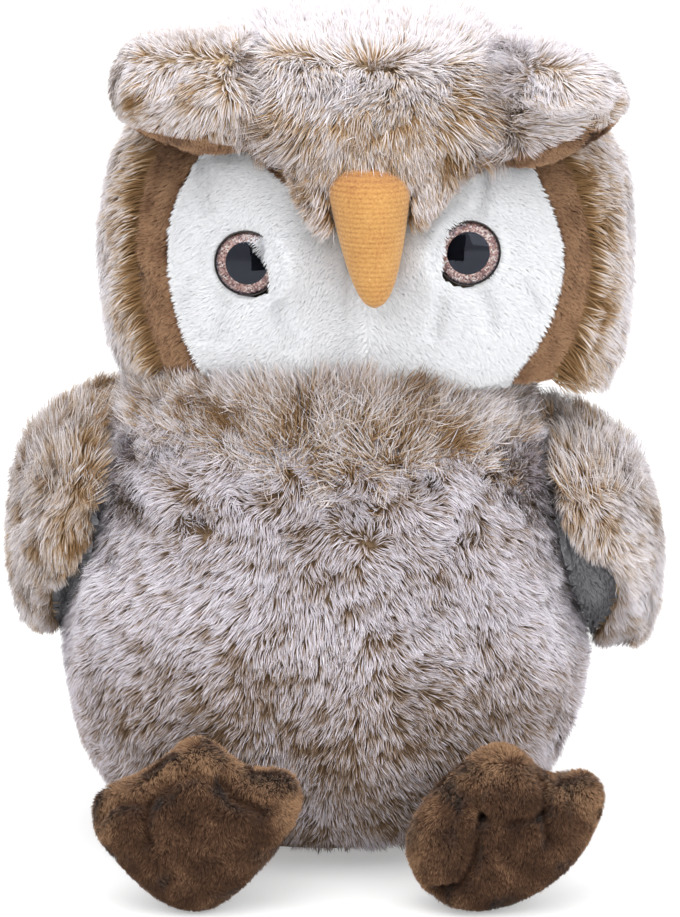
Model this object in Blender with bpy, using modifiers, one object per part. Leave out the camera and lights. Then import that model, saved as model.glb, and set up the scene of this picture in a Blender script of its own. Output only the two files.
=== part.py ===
"""Sitting plush owl: sewn fur covers over fibre filling, glitter eyes, a knit beak and soft hinged limbs.

Metres, +Z up. The owl faces -Y and +X is to the viewer's right. The origin is on the flat that the
body rests on, under the middle of the body.
"""

import math

import bmesh
import bpy
from mathutils import Matrix, Vector
from mathutils.bvhtree import BVHTree

# Clearances
seam_gap = 0.0003  # between pieces that are sewn or pressed together
floor_flat = 0.0005  # how deep the soft forms are pressed flat on the floor
overrun = 0.020  # how far a cutter runs past what it cuts

# Body: an egg that is widest low down, with a dish for the head on top
body_width = 0.1480
body_depth = 0.1220
body_height = 0.1580
cover_thickness = 0.0070  # backing cloth and pile of the long fur
pellet_height = 0.0420  # top of the bag of pellets in the seat
body_ring_shares = [
    (0.000, 0.00, 0.00, 0.0, 0.06),
    (0.004, 0.40, 0.38, 0.0, 0.06),
    (0.050, 0.73, 0.71, 0.0, 0.06),
    (0.150, 0.92, 0.90, 0.0, 0.03),
    (0.330, 1.00, 1.00, 0.0, 0.00),
    (0.540, 0.95, 0.96, 0.0, 0.00),
    (0.690, 0.87, 0.90, 0.0, -0.02),
    (0.810, 0.79, 0.84, 0.0, -0.05),
    (0.900, 0.71, 0.77, 0.0, -0.09),
    (0.975, 0.44, 0.50, 0.0, -0.09),
    (1.000, 0.00, 0.00, 0.0, -0.09),
]

# Head: a broad egg that turns in the dish of the body
head_width = 0.1500
head_depth = 0.1180
head_bottom = 0.1160
head_top = 0.2375
head_side = 0.0112  # the head leans this far to the viewer's right
head_forward = 0.0010
head_ring_shares = [
    (0.000, 0.00, 0.00, 0.0, 0.0),
    (0.020, 0.52, 0.48, 0.0, 0.0),
    (0.100, 0.83, 0.78, 0.0, 0.0),
    (0.220, 0.96, 0.93, 0.0, 0.0),
    (0.420, 1.00, 1.00, 0.0, 0.0),
    (0.620, 0.98, 0.98, 0.0, 0.0),
    (0.780, 0.87, 0.88, 0.0, 0.0),
    (0.900, 0.66, 0.68, 0.0, 0.0),
    (0.975, 0.36, 0.38, 0.0, 0.0),
    (1.000, 0.00, 0.00, 0.0, 0.0),
]
dish_floor = 0.1270  # height of the dish on the turning axis
dish_rise = 0.0135
dish_radius = 0.0620
dish_profile_shares = [
    (0.00, 0.00), (0.30, 0.10), (0.60, 0.42), (0.80, 0.80), (0.92, 1.00), (1.00, 0.94), (1.10, 0.62),
    (1.22, 0.44),
]

# Face: short plush panels, set back from the tips of the long fur
face_inset = 0.0030
face_reach = 0.0120  # the panels end this far in front of the middle of the head
brow_swell = 0.0040  # the padded brow stands this far proud of the head
brow_reach = 0.0050  # the brow ends this far behind the middle of the head
face_outline_shares = {
    "left": [
        (-0.51, 0.49), (-0.60, 0.43), (-0.67, 0.28), (-0.72, 0.08), (-0.71, -0.15), (-0.67, -0.36),
        (-0.59, -0.58), (-0.47, -0.84), (-0.22, -0.88), (-0.06, -0.86), (-0.06, -0.40), (-0.06, -0.10),
        (-0.06, 0.22), (-0.15, 0.24), (-0.33, 0.37), (-0.42, 0.46),
    ],
    "right": [
        (0.55, 0.44), (0.63, 0.28), (0.70, 0.03), (0.69, -0.18), (0.63, -0.38), (0.53, -0.56),
        (0.41, -0.84), (0.12, -0.88), (-0.08, -0.86), (-0.08, -0.40), (-0.08, -0.10), (-0.08, 0.22),
        (0.12, 0.23), (0.24, 0.27), (0.39, 0.38),
    ],
}
border_outline_shares = {
    "left": [
        (-0.13, 0.22), (-0.24, 0.36), (-0.38, 0.48), (-0.58, 0.57), (-0.74, 0.52), (-0.82, 0.33),
        (-0.86, 0.08), (-0.85, -0.17), (-0.81, -0.42), (-0.67, -0.84), (-0.47, -0.86), (-0.42, -0.20),
        (-0.42, 0.15), (-0.22, 0.12),
    ],
    "right": [
        (0.09, 0.24), (0.27, 0.40), (0.44, 0.52), (0.64, 0.50), (0.75, 0.34), (0.83, 0.01),
        (0.82, -0.22), (0.75, -0.46), (0.56, -0.84), (0.36, -0.86), (0.36, -0.20), (0.36, 0.10),
        (0.17, 0.10),
    ],
}
brow_outline_shares = [
    (-0.35, 1.30), (-0.35, 0.90), (-0.35, 0.62), (-0.27, 0.42), (-0.19, 0.23), (-0.11, 0.19), (0.05, 0.19),
    (0.15, 0.22), (0.25, 0.28), (0.38, 0.46), (0.42, 0.64), (0.42, 0.90), (0.42, 1.30),
]

# Beak: a flattened, stuffed cone of rib knit
beak_width = 0.0228
beak_length = 0.0390
beak_depth = 0.0240
beak_tip_height = 0.1655
beak_side = 0.0002  # to the right of the middle of the head
beak_inset = 0.0010  # its middle lies this far behind the front of the head
knit_thickness = 0.0012
beak_ring_shares = [
    (0.00, 0.00, 0.00, 0.10, -0.50),
    (0.05, 0.26, 0.24, 0.10, -0.50),
    (0.16, 0.47, 0.40, 0.09, -0.46),
    (0.40, 0.70, 0.62, 0.05, -0.30),
    (0.68, 0.88, 0.82, 0.00, -0.16),
    (0.88, 1.00, 0.84, -0.02, -0.06),
    (0.97, 0.86, 0.60, -0.02, 0.10),
    (1.00, 0.00, 0.00, -0.02, 0.20),
]

# Eyes: a dark cup, a glitter ring, a black pupil on its shank, a clear dome and a lock washer
eye_radius = 0.0090
eye_place_shares = {"left": (-0.447, -0.025), "right": (0.372, 0.024)}
eye_yaw = math.radians(10)
eye_sink = 0.0018
eye_base = 0.0010
eye_rim_height = 0.0026
eye_rim_wall = 0.0008
eye_rim_bevel = 0.0003
pupil_radius = 0.0058
pupil_height = 0.0023
iris_thickness = 0.0004
dome_height = 0.0050
dome_wall = 0.0007
shank_radius = 0.0022
shank_length = 0.0115
shank_point_radius = 0.0011
shank_point_length = 0.0011
washer_radius = 0.0070
washer_depth = 0.0040
washer_thickness = 0.0008
pupil_profile_shares = [(0.00, 1.00), (0.55, 0.92), (0.93, 0.64)]
dome_profile_shares = [(0.00, 1.00), (0.42, 0.91), (0.74, 0.66), (0.94, 0.28), (1.00, 0.00)]

# Brow tufts: padded flaps that fold at a crease on either side of the brow
tuft_crease_shares = {"left": -0.355, "right": 0.428}
tuft_length = {"left": 0.0425, "right": 0.0370}
tuft_height = {"left": 0.0350, "right": 0.0370}
tuft_bottom = {"left": 0.2025, "right": 0.1985}
tuft_depth = 0.0520
tuft_inset = 0.0230  # its middle lies this far behind the front of the head
tuft_lining_slope = {"left": math.radians(8), "right": math.radians(17)}
tuft_lining_rise = 0.0055
tuft_lift = math.radians(16)  # how wide the crease is on either side of its axis
tuft_roll_radius = 0.0040
tuft_roll_inset = 0.0100  # from the front of the head to the front end of the roll
tuft_roll_length = 0.0240
tuft_ring_shares = {
    "left": [
        (0.00, 0.00, 0.00, 0.0, 0.00), (0.02, 0.92, 0.92, 0.0, 0.00), (0.20, 1.00, 1.00, 0.0, 0.00),
        (0.45, 1.00, 1.00, 0.0, 0.00), (0.70, 0.90, 0.90, 0.0, 0.08), (0.90, 0.70, 0.70, 0.0, 0.16),
        (0.98, 0.36, 0.38, 0.0, 0.20), (1.00, 0.00, 0.00, 0.0, 0.20),
    ],
    "right": [
        (0.00, 0.00, 0.00, 0.0, 0.00), (0.02, 0.92, 0.92, 0.0, 0.00), (0.20, 1.00, 1.00, 0.0, 0.00),
        (0.45, 1.00, 0.95, 0.0, 0.05), (0.70, 0.88, 0.75, 0.0, 0.10), (0.88, 0.64, 0.52, 0.0, 0.10),
        (0.97, 0.34, 0.28, 0.0, 0.08), (1.00, 0.00, 0.00, 0.0, 0.08),
    ],
}

# Wings: padded leaves sewn on at the shoulder, fur outside and plush lining inside
wing_hinge_side_shares = {"left": 0.7905, "right": 0.8135}  # of the body's half width
wing_hinge_height = {"left": 0.1275, "right": 0.1225}
wing_hinge_back = 0.0020
wing_roll_radius = 0.0035
wing_roll_length = 0.0340
wing_spread = 0.0312  # across, from the inner to the outer face
wing_outset = 0.0002  # from the hinge to the inner face
wing_bottom = {"left": 0.0585, "right": 0.0530}
wing_length = 0.0720
wing_depth = 0.0600
wing_flare = {"left": 0.0, "right": math.radians(4)}
wing_yaw = math.radians(12)  # the back edge stands further out than the front edge
wing_lining_lean = math.radians(12.5)
wing_lining_side = 0.0170  # from the hinge to the lining, halfway down
wing_lining_height = 0.0840
wing_lining_drop = 0.0150  # the lining starts this far below the hinge
wing_ring_shares = [
    (0.00, 0.00, 0.00, 0.41, 0.20),
    (0.04, 0.32, 0.34, 0.41, 0.20),
    (0.18, 0.47, 0.74, 0.44, 0.12),
    (0.35, 0.54, 0.94, 0.45, 0.05),
    (0.55, 0.59, 1.00, 0.38, 0.00),
    (0.72, 0.65, 0.92, 0.15, 0.00),
    (0.86, 0.56, 0.76, -0.24, 0.00),
    (0.95, 0.34, 0.52, -0.66, 0.00),
    (1.00, 0.00, 0.00, -0.85, 0.00),
]

# Feet: lobed paddles that stand on their heels, on a soft ankle
foot_width = {"left": 0.0590, "right": 0.0555}
foot_height = {"left": 0.0500, "right": 0.0480}
foot_side = {"left": -0.0352, "right": 0.0483}
foot_thickness = 0.0240
foot_forward = 0.0710
foot_cloth = 0.0034  # plush and its pile
ankle_radius = 0.0110
ankle_forward = {"left": 0.0530, "right": 0.0470}
ankle_height = 0.0200
leg_radius = 0.0085
foot_outline_shares = {
    "left": [
        (0.02, -1.06), (-0.42, -0.86), (-0.80, -0.40), (-1.14, 0.16), (-0.96, 0.52), (-0.48, 0.62),
        (-0.22, 0.96), (0.02, 1.16), (0.26, 0.94), (0.50, 0.62), (0.92, 0.78), (1.14, 0.38),
        (0.84, -0.24), (0.42, -0.76),
    ],
    "right": [
        (-0.30, -1.06), (-0.78, -0.80), (-1.14, -0.22), (-0.88, 0.34), (-0.42, 0.84), (-0.04, 1.12),
        (0.26, 0.92), (0.46, 0.52), (0.82, 0.82), (1.14, 0.52), (0.98, 0.04), (0.78, -0.40),
        (0.36, -0.78),
    ],
}
foot_ring_shares = [
    (0.00, 0.00, 0.00, 0.0, 0.0),
    (0.05, 0.55, 0.55, 0.0, 0.0),
    (0.24, 0.90, 0.90, 0.0, 0.0),
    (0.50, 1.00, 1.00, 0.0, 0.0),
    (0.76, 0.90, 0.90, 0.0, 0.0),
    (0.95, 0.55, 0.55, 0.0, 0.0),
    (1.00, 0.00, 0.00, 0.0, 0.0),
]

# Fineness of the meshes
form_sides = 14
inner_sides = 14
limb_sides = 10
outline_steps = 3
eye_steps = 20
dish_steps = 32
ball_segments = 16
rod_segments = 12
squareness_share = 0.87  # 1 gives an ellipse, less gives a squarer section
weld_distance = 0.00001

# The two sides, as the viewer sees them
sides = {"left": -1, "right": 1}

parts = None
cutters = None


def clear_scene():
    for obj in list(bpy.data.objects):
        bpy.data.objects.remove(obj, do_unlink=True)


def new_collection(name):
    collection = bpy.data.collections.new(name)
    bpy.context.scene.collection.children.link(collection)
    return collection


def linear(hex_colour):
    """An sRGB hex colour as linear red, green, blue and alpha."""
    channels = []
    for start in (1, 3, 5):
        value = int(hex_colour[start:start + 2], 16) / 255
        low = value / 12.92
        high = ((value + 0.055) / 1.055) ** 2.4
        channels.append(low if value <= 0.04045 else high)
    return (*channels, 1.0)


def material(name, hex_colour, roughness, metallic=0.0):
    """A plain surface in the colour, roughness and metallic value of the real one."""
    made = bpy.data.materials.new(name)
    made.use_nodes = True
    shader = made.node_tree.nodes["Principled BSDF"]
    shader.inputs["Base Color"].default_value = linear(hex_colour)
    shader.inputs["Roughness"].default_value = roughness
    shader.inputs["Metallic"].default_value = metallic
    made.diffuse_color = linear(hex_colour)
    return made


def add_object(name, mesh, group):
    obj = bpy.data.objects.new(name, mesh)
    group.objects.link(obj)
    if group == cutters:
        obj.hide_render = True
        obj.display_type = "WIRE"
    return obj


def evaluated_mesh(obj, name):
    """The object's mesh with its modifiers applied, in world space."""
    graph = bpy.context.evaluated_depsgraph_get()
    graph.update()
    mesh = bpy.data.meshes.new_from_object(obj.evaluated_get(graph))
    mesh.name = name
    mesh.transform(obj.matrix_world)
    return mesh


def head_front():
    """The place along Y of the foremost point of the head."""
    return -head_forward - head_depth / 2


def section(count, squareness=1.0):
    """Points round a unit section, an ellipse or a squarer curve."""
    points = []
    for step in range(count):
        angle = 2 * math.pi * step / count
        across = math.copysign(abs(math.cos(angle)) ** squareness, math.cos(angle))
        along = math.copysign(abs(math.sin(angle)) ** squareness, math.sin(angle))
        points.append((across, along))
    return points


def ring_cage(outline, rings):
    """A closed cage of unlike rings. Each ring has its place along, two scales and two shifts."""
    cage = bmesh.new()
    loops = []
    for along, scale_u, scale_v, shift_u, shift_v in rings:
        if scale_u == 0:
            loops.append([cage.verts.new((shift_u, shift_v, along))])
            continue
        ring = [(shift_u + u * scale_u, shift_v + v * scale_v, along) for u, v in outline]
        loops.append([cage.verts.new(point) for point in ring])
    for lower, upper in zip(loops, loops[1:]):
        for step in range(len(outline)):
            corners = []
            for loop, at in ((lower, step), (lower, step + 1), (upper, step + 1), (upper, step)):
                corner = loop[at % len(loop)]
                if corner not in corners:
                    corners.append(corner)
            cage.faces.new(corners)
    bmesh.ops.recalc_face_normals(cage, faces=cage.faces)
    return cage


def soft_form(name, outline, rings, low, high, turn=None, levels=1):
    """A smooth stuffed form that fills the box from low to high. turn maps the cage's axes to the box."""
    cage = ring_cage(outline, rings)
    if turn is not None:
        bmesh.ops.transform(cage, matrix=turn.to_4x4(), verts=cage.verts)
        bmesh.ops.recalc_face_normals(cage, faces=cage.faces)
    mesh = bpy.data.meshes.new(name)
    cage.to_mesh(mesh)
    cage.free()
    form = add_object(name, mesh, cutters)
    if levels > 0:
        smooth = form.modifiers.new("Smooth", "SUBSURF")
        smooth.levels = levels
        smooth.render_levels = levels
    smooth_mesh = evaluated_mesh(form, name)
    form.modifiers.clear()
    form.data = smooth_mesh
    bpy.data.meshes.remove(mesh)
    points = [vertex.co.copy() for vertex in smooth_mesh.vertices]
    lowest = Vector([min(point[axis] for point in points) for axis in range(3)])
    highest = Vector([max(point[axis] for point in points) for axis in range(3)])
    for vertex in smooth_mesh.vertices:
        for axis in range(3):
            share = (vertex.co[axis] - lowest[axis]) / (highest[axis] - lowest[axis])
            vertex.co[axis] = low[axis] + share * (high[axis] - low[axis])
    smooth_mesh.shade_smooth()
    return form


def box(name, low, high, rotation=None, pivot=None):
    """A box cutter from low to high, turned about a pivot where a rotation is given."""
    cube = bmesh.new()
    bmesh.ops.create_cube(cube, size=1.0)
    low, high = Vector(low), Vector(high)
    bmesh.ops.scale(cube, vec=high - low, verts=cube.verts)
    bmesh.ops.translate(cube, vec=(low + high) / 2, verts=cube.verts)
    if rotation is not None:
        bmesh.ops.rotate(cube, cent=pivot, matrix=rotation, verts=cube.verts)
    mesh = bpy.data.meshes.new(name)
    cube.to_mesh(mesh)
    cube.free()
    return add_object(name, mesh, cutters)


def ball(name, centre, radius):
    sphere = bmesh.new()
    bmesh.ops.create_uvsphere(sphere, u_segments=ball_segments, v_segments=ball_segments // 2, radius=radius)
    bmesh.ops.translate(sphere, vec=centre, verts=sphere.verts)
    mesh = bpy.data.meshes.new(name)
    sphere.to_mesh(mesh)
    sphere.free()
    return add_object(name, mesh, cutters)


def rod(name, start, end, radius):
    """A straight round bar between two points."""
    start, end = Vector(start), Vector(end)
    bar = bmesh.new()
    length = (end - start).length
    bmesh.ops.create_cone(
        bar, cap_ends=True, segments=rod_segments, radius1=radius, radius2=radius, depth=length
    )
    turn = Vector((0, 0, 1)).rotation_difference(end - start).to_matrix().to_4x4()
    bmesh.ops.transform(bar, matrix=Matrix.Translation((start + end) / 2) @ turn, verts=bar.verts)
    mesh = bpy.data.meshes.new(name)
    bar.to_mesh(mesh)
    bar.free()
    return add_object(name, mesh, cutters)


def smooth_outline(points):
    """A closed curve through the points, with outline_steps stretches between each two."""
    curve = []
    count = len(points)
    for at in range(count):
        before, start, end, after = (Vector(points[(at + shift) % count]) for shift in (-1, 0, 1, 2))
        for step in range(outline_steps):
            t = step / outline_steps
            blend = 2 * start + (end - before) * t
            blend += (2 * before - 5 * start + 4 * end - after) * t**2
            blend += (3 * start - before - 3 * end + after) * t**3
            curve.append(blend / 2)
    return curve


def grown_outline(outline, distance):
    """The outline moved outwards by a distance, by the normal at each point."""
    count = len(outline)
    area = sum(a.x * b.y - b.x * a.y for a, b in zip(outline, outline[1:] + outline[:1]))
    turn = math.copysign(1, area)
    grown = []
    for at in range(count):
        tangent = (outline[(at + 1) % count] - outline[at - 1]).normalized()
        grown.append(outline[at] + turn * distance * Vector((tangent.y, -tangent.x)))
    return grown


def head_outline(shares):
    """Outline shares of the head's half width and half height as points of the front view."""
    middle = (head_bottom + head_top) / 2
    half_height = (head_top - head_bottom) / 2
    points = [Vector((head_side + u * head_width / 2, middle + v * half_height)) for u, v in shares]
    return smooth_outline(points)


def prism(name, outline, front, back):
    """A flat outline of the front view, extruded from front to back along Y."""
    curve = bpy.data.curves.new(name, "CURVE")
    curve.dimensions = "2D"
    curve.fill_mode = "BOTH"
    curve.extrude = (back - front) / 2
    spline = curve.splines.new("POLY")
    spline.points.add(len(outline) - 1)
    spline.use_cyclic_u = True
    for point, place in zip(spline.points, outline):
        point.co = (place.x, place.y, 0, 1)
    guide = add_object(name + "_outline", curve, cutters)
    guide.rotation_euler.x = math.pi / 2
    guide.location.y = (front + back) / 2
    bpy.context.view_layer.update()
    mesh = evaluated_mesh(guide, name)
    bpy.data.objects.remove(guide)
    solid = bmesh.new()
    solid.from_mesh(mesh)
    bmesh.ops.remove_doubles(solid, verts=solid.verts, dist=weld_distance)
    bmesh.ops.recalc_face_normals(solid, faces=solid.faces)
    solid.to_mesh(mesh)
    solid.free()
    return add_object(name, mesh, cutters)


def turned(name, profile, steps, group, matrix=None):
    """A profile of (radius, height) points turned round Z. It runs down the outer side."""
    mesh = bpy.data.meshes.new(name)
    closed = profile[0][0] > 0
    edges = [(at, at + 1) for at in range(len(profile) - 1)]
    if closed:
        edges.append((len(profile) - 1, 0))
    mesh.from_pydata([(radius, 0, height) for radius, height in profile], edges, [])
    obj = add_object(name, mesh, group)
    spin = obj.modifiers.new("Turn", "SCREW")
    spin.steps = steps
    spin.render_steps = steps
    spin.use_merge_vertices = True
    spin.merge_threshold = weld_distance
    if matrix is not None:
        obj.matrix_world = matrix
    bpy.context.view_layer.update()
    return obj


def combine(piece, other, operation):
    step = piece.modifiers.new(other.name, "BOOLEAN")
    step.operation = operation
    step.solver = "EXACT"
    step.object = other


def carve(piece, *others):
    for other in others:
        combine(piece, other, "DIFFERENCE")


def finish(name, form, look, add=(), keep=(), cut=(), late=()):
    """A piece of the owl: a copy of a form, with solids added, kept within, cut away and added last."""
    piece = add_object(name, form.data.copy(), parts)
    piece.data.materials.clear()
    piece.data.materials.append(look)
    for other in add:
        combine(piece, other, "UNION")
    for other in keep:
        combine(piece, other, "INTERSECT")
    carve(piece, *cut)
    for other in late:
        combine(piece, other, "UNION")
    return piece


def put_origin(piece, place):
    """Moves the piece's origin to a point of its joint's axis, and leaves its shape where it is."""
    piece.data.transform(Matrix.Translation(-Vector(place)))
    piece.location = place


def ellipsoid_box(width, depth, low, high, side, back, inset):
    """The two corners of a form's box, drawn in by an inset on every side."""
    corner_low = (side - width / 2 + inset, back - depth / 2 + inset, low + inset)
    corner_high = (side + width / 2 - inset, back + depth / 2 - inset, high - inset)
    return corner_low, corner_high


def body_form(name, inset, count, levels=1):
    low, high = ellipsoid_box(body_width, body_depth, -floor_flat, body_height, 0, 0, inset)
    return soft_form(name, section(count, squareness_share), body_ring_shares, low, high, levels=levels)


def head_form(name, inset, count, levels=1):
    low, high = ellipsoid_box(head_width, head_depth, head_bottom, head_top, head_side, -head_forward, inset)
    return soft_form(name, section(count, squareness_share), head_ring_shares, low, high, levels=levels)


def brow_form(name):
    """The head's form, drawn forward so that it stands proud in front and meets the head on top."""
    low, high = ellipsoid_box(head_width, head_depth, head_bottom, head_top, head_side, -head_forward, 0)
    low = (low[0], low[1] - brow_swell, low[2])
    high = (high[0], high[1], high[2] + seam_gap)
    return soft_form(name, section(form_sides, squareness_share), head_ring_shares, low, high)


def dish_profile(clearance):
    """Radius and height along the dish: from the axis up to its crest, and down to the shoulders."""
    return [
        (dish_radius * u, dish_floor + dish_rise * v + clearance) for u, v in dish_profile_shares
    ]


def dish_cutters():
    """What lies above the dish, cut from the body, and what lies below it, cut from the head."""
    reach = body_width
    above = dish_profile(0)
    above = [(0, head_top + overrun), (reach, head_top + overrun), (reach, above[-1][1])] + above[::-1]
    below = dish_profile(seam_gap)
    below += [(reach, below[-1][1]), (reach, -overrun), (0, -overrun)]
    place = Matrix.Translation((head_side, -head_forward, 0))
    return (
        turned("space_above_dish", above, dish_steps, cutters, place),
        turned("space_below_dish", below, dish_steps, cutters, place),
    )


def surface_point(form, start, direction):
    """Where a ray first meets a form."""
    tree = BVHTree.FromPolygons(
        [vertex.co for vertex in form.data.vertices], [face.vertices for face in form.data.polygons]
    )
    return tree.ray_cast(Vector(start), Vector(direction))[0]


def make_body(looks, outer, dish_space, floor, limbs):
    inner = body_form("body_inner_face", cover_thickness, inner_sides, levels=0)
    core = body_form("body_core", cover_thickness + seam_gap, inner_sides, levels=0)
    reach = body_width
    seat_top = box("seat_region", (-reach, -reach, -reach), (reach, reach, pellet_height))
    filling_floor = box(
        "filling_floor", (-reach, -reach, -reach), (reach, reach, pellet_height + seam_gap)
    )
    finish("body_fur_cover", outer, looks["long_fur"], cut=[inner, dish_space, floor, *limbs])
    finish("body_stuffing", core, looks["fibre_fill"], cut=[dish_space, filling_floor, *limbs])
    finish("pellet_bag", core, looks["cotton_bag"], keep=[seat_top], cut=limbs)


def eye_frame(side, face):
    """The eye's own axes: +Z comes out of the face, and its seat is at the origin."""
    share_u, share_v = eye_place_shares[side]
    place_x = head_side + share_u * head_width / 2
    place_z = (head_bottom + head_top) / 2 + share_v * (head_top - head_bottom) / 2
    point = surface_point(face, (place_x, -head_depth, place_z), (0, 1, 0))
    yaw = sides[side] * eye_yaw
    outward = Vector((math.sin(yaw), -math.cos(yaw), 0))
    turn = Vector((0, 0, 1)).rotation_difference(outward).to_matrix().to_4x4()
    return Matrix.Translation(point - outward * eye_sink) @ turn


def make_eye(side, frame, looks):
    """The five pieces of a glitter eye. Returns what they cut from the face and from the filling."""
    hole = shank_radius + seam_gap
    rim_inner = eye_radius - eye_rim_wall
    iris_low = eye_base + seam_gap
    iris_high = iris_low + iris_thickness
    glass_low = iris_high + seam_gap
    glass_radius = rim_inner - seam_gap
    bevel_radius = eye_radius - eye_rim_bevel
    cup = [
        (hole, eye_base), (rim_inner, eye_base), (rim_inner, eye_rim_height),
        (bevel_radius, eye_rim_height), (eye_radius, eye_rim_height - eye_rim_bevel),
        (eye_radius, eye_rim_bevel), (bevel_radius, 0), (hole, 0),
    ]
    iris = [
        (pupil_radius + seam_gap, iris_high), (glass_radius, iris_high), (glass_radius, iris_low),
        (pupil_radius + seam_gap, iris_low),
    ]
    pupil = [(pupil_radius * u, iris_low + pupil_height * v) for u, v in pupil_profile_shares]
    pupil += [
        (pupil_radius, iris_high), (pupil_radius, iris_low), (shank_radius, iris_low),
        (shank_radius, shank_point_length - shank_length), (shank_point_radius, -shank_length),
        (0, -shank_length),
    ]
    rise = dome_height - glass_low
    inner_radius = glass_radius - dome_wall
    inner_rise = rise - dome_wall
    outer = [(u * glass_radius, glass_low + v * rise) for u, v in dome_profile_shares]
    inner = [(u * inner_radius, glass_low + v * inner_rise) for u, v in dome_profile_shares]
    washer_high = -washer_depth
    washer = [
        (hole, washer_high), (washer_radius, washer_high), (washer_radius, washer_high - washer_thickness),
        (hole, washer_high - washer_thickness),
    ]
    pieces = {
        "eye_cup_": (cup, "dark_rim"),
        "eye_glitter_ring_": (iris, "glitter"),
        "eye_pupil_": (pupil, "black_gloss"),
        "eye_dome_": (outer + inner[::-1], "clear_dome"),
        "eye_washer_": (washer, "nylon"),
    }
    for prefix, (profile, look) in pieces.items():
        piece = turned(prefix + side, profile, eye_steps, parts, frame)
        piece.data.materials.append(looks[look])
    pocket_radius = eye_radius + seam_gap
    pocket = [(0, overrun), (pocket_radius, overrun), (pocket_radius, -seam_gap), (0, -seam_gap)]
    bore = [(0, overrun), (hole, overrun), (hole, -shank_length - seam_gap), (0, -shank_length - seam_gap)]
    seat_radius = washer_radius + seam_gap
    seat_low = washer_high - washer_thickness - seam_gap
    washer_seat = [(0, overrun), (seat_radius, overrun), (seat_radius, seat_low), (0, seat_low)]
    seat_high = washer_high + seam_gap
    washer_space = [(0, seat_high), (seat_radius, seat_high), (seat_radius, seat_low), (0, seat_low)]
    return (
        turned("eye_pocket_" + side, pocket, eye_steps, cutters, frame),
        turned("shank_bore_" + side, bore, eye_steps, cutters, frame),
        turned("washer_seat_" + side, washer_seat, eye_steps, cutters, frame),
        turned("washer_space_" + side, washer_space, eye_steps, cutters, frame),
    )


def beak_form(name, inset, levels=1):
    centre = Vector((head_side + beak_side, head_front() + beak_inset, beak_tip_height + beak_length / 2))
    half = Vector((beak_width / 2 - inset, beak_depth / 2 - inset, beak_length / 2 - inset))
    low, high = centre - half, centre + half
    return soft_form(name, section(limb_sides), beak_ring_shares, low, high, levels=levels)


def tuft_axis(side, head):
    """Two points of the crease that the tuft folds about, on the head's surface."""
    crease = head_side + tuft_crease_shares[side] * head_width / 2
    sky = head_top + overrun
    roll_front = head_front() + tuft_roll_inset
    front = surface_point(head, (crease, roll_front, sky), (0, 0, -1))
    back = surface_point(head, (crease, roll_front + tuft_roll_length, sky), (0, 0, -1))
    return front, back


def tuft_form(side):
    """The padded flap, with its rings along X from the crease to the tip."""
    sign = sides[side]
    crease = head_side + tuft_crease_shares[side] * head_width / 2
    tip = crease + sign * tuft_length[side]
    middle = head_front() + tuft_inset
    low = (min(crease, tip), middle - tuft_depth / 2, tuft_bottom[side])
    high = (max(crease, tip), middle + tuft_depth / 2, tuft_bottom[side] + tuft_height[side])
    turn = Matrix(((0, 0, sign), (1, 0, 0), (0, 1, 0)))
    return soft_form("tuft_form_" + side, section(limb_sides, squareness_share), tuft_ring_shares[side],
                     low, high, turn)


def make_tuft(side, looks, head, head_clear):
    """A tuft of fur over plush lining. Returns the roll's groove, which the brow and cover have."""
    sign = sides[side]
    front, back = tuft_axis(side, head)
    form = tuft_form(side)
    along = (back - front).normalized()
    out_of_head = Vector((1, 0, 0)).cross(along)
    if out_of_head.z < 0:
        out_of_head = -out_of_head
    reach = head_width / 2
    frame = Matrix((Vector((1, 0, 0)), along, out_of_head)).transposed()
    inward = Vector((-sign * (reach - seam_gap), 0, 0))
    wedges = []
    for name, angle in (("crease_above_", tuft_lift), ("crease_below_", -tuft_lift)):
        fold = Matrix.Rotation(sign * angle, 3, along)
        wedge = box(name + side, (-reach, -reach, -reach), (reach, reach, reach))
        for vertex in wedge.data.vertices:
            vertex.co = front + fold @ (frame @ (vertex.co + inward))
        wedges.append(wedge)
    slope = Matrix.Rotation(sign * -tuft_lining_slope[side], 3, "Y")
    pivot = Vector((front.x, 0, tuft_bottom[side] + tuft_lining_rise))
    under = box("tuft_under_" + side, pivot - Vector((reach, reach, reach)), pivot + Vector((reach, reach, 0)),
                slope, pivot)
    over = box("tuft_over_" + side, pivot - Vector((reach, reach, reach)),
               pivot + Vector((reach, reach, seam_gap)), slope, pivot)
    roll = rod("tuft_roll_" + side, front, back, tuft_roll_radius)
    groove = rod("tuft_groove_" + side, front - along * seam_gap, back + along * seam_gap,
                 tuft_roll_radius + seam_gap)
    fur = finish("tuft_fur_" + side, form, looks["long_fur"], cut=[head_clear, *wedges, over],
                 late=[roll])
    lining = finish("tuft_lining_" + side, form, looks["brown_plush"], keep=[under],
                    cut=[head_clear, *wedges, groove])
    put_origin(fur, front)
    put_origin(lining, front)
    return groove


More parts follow.
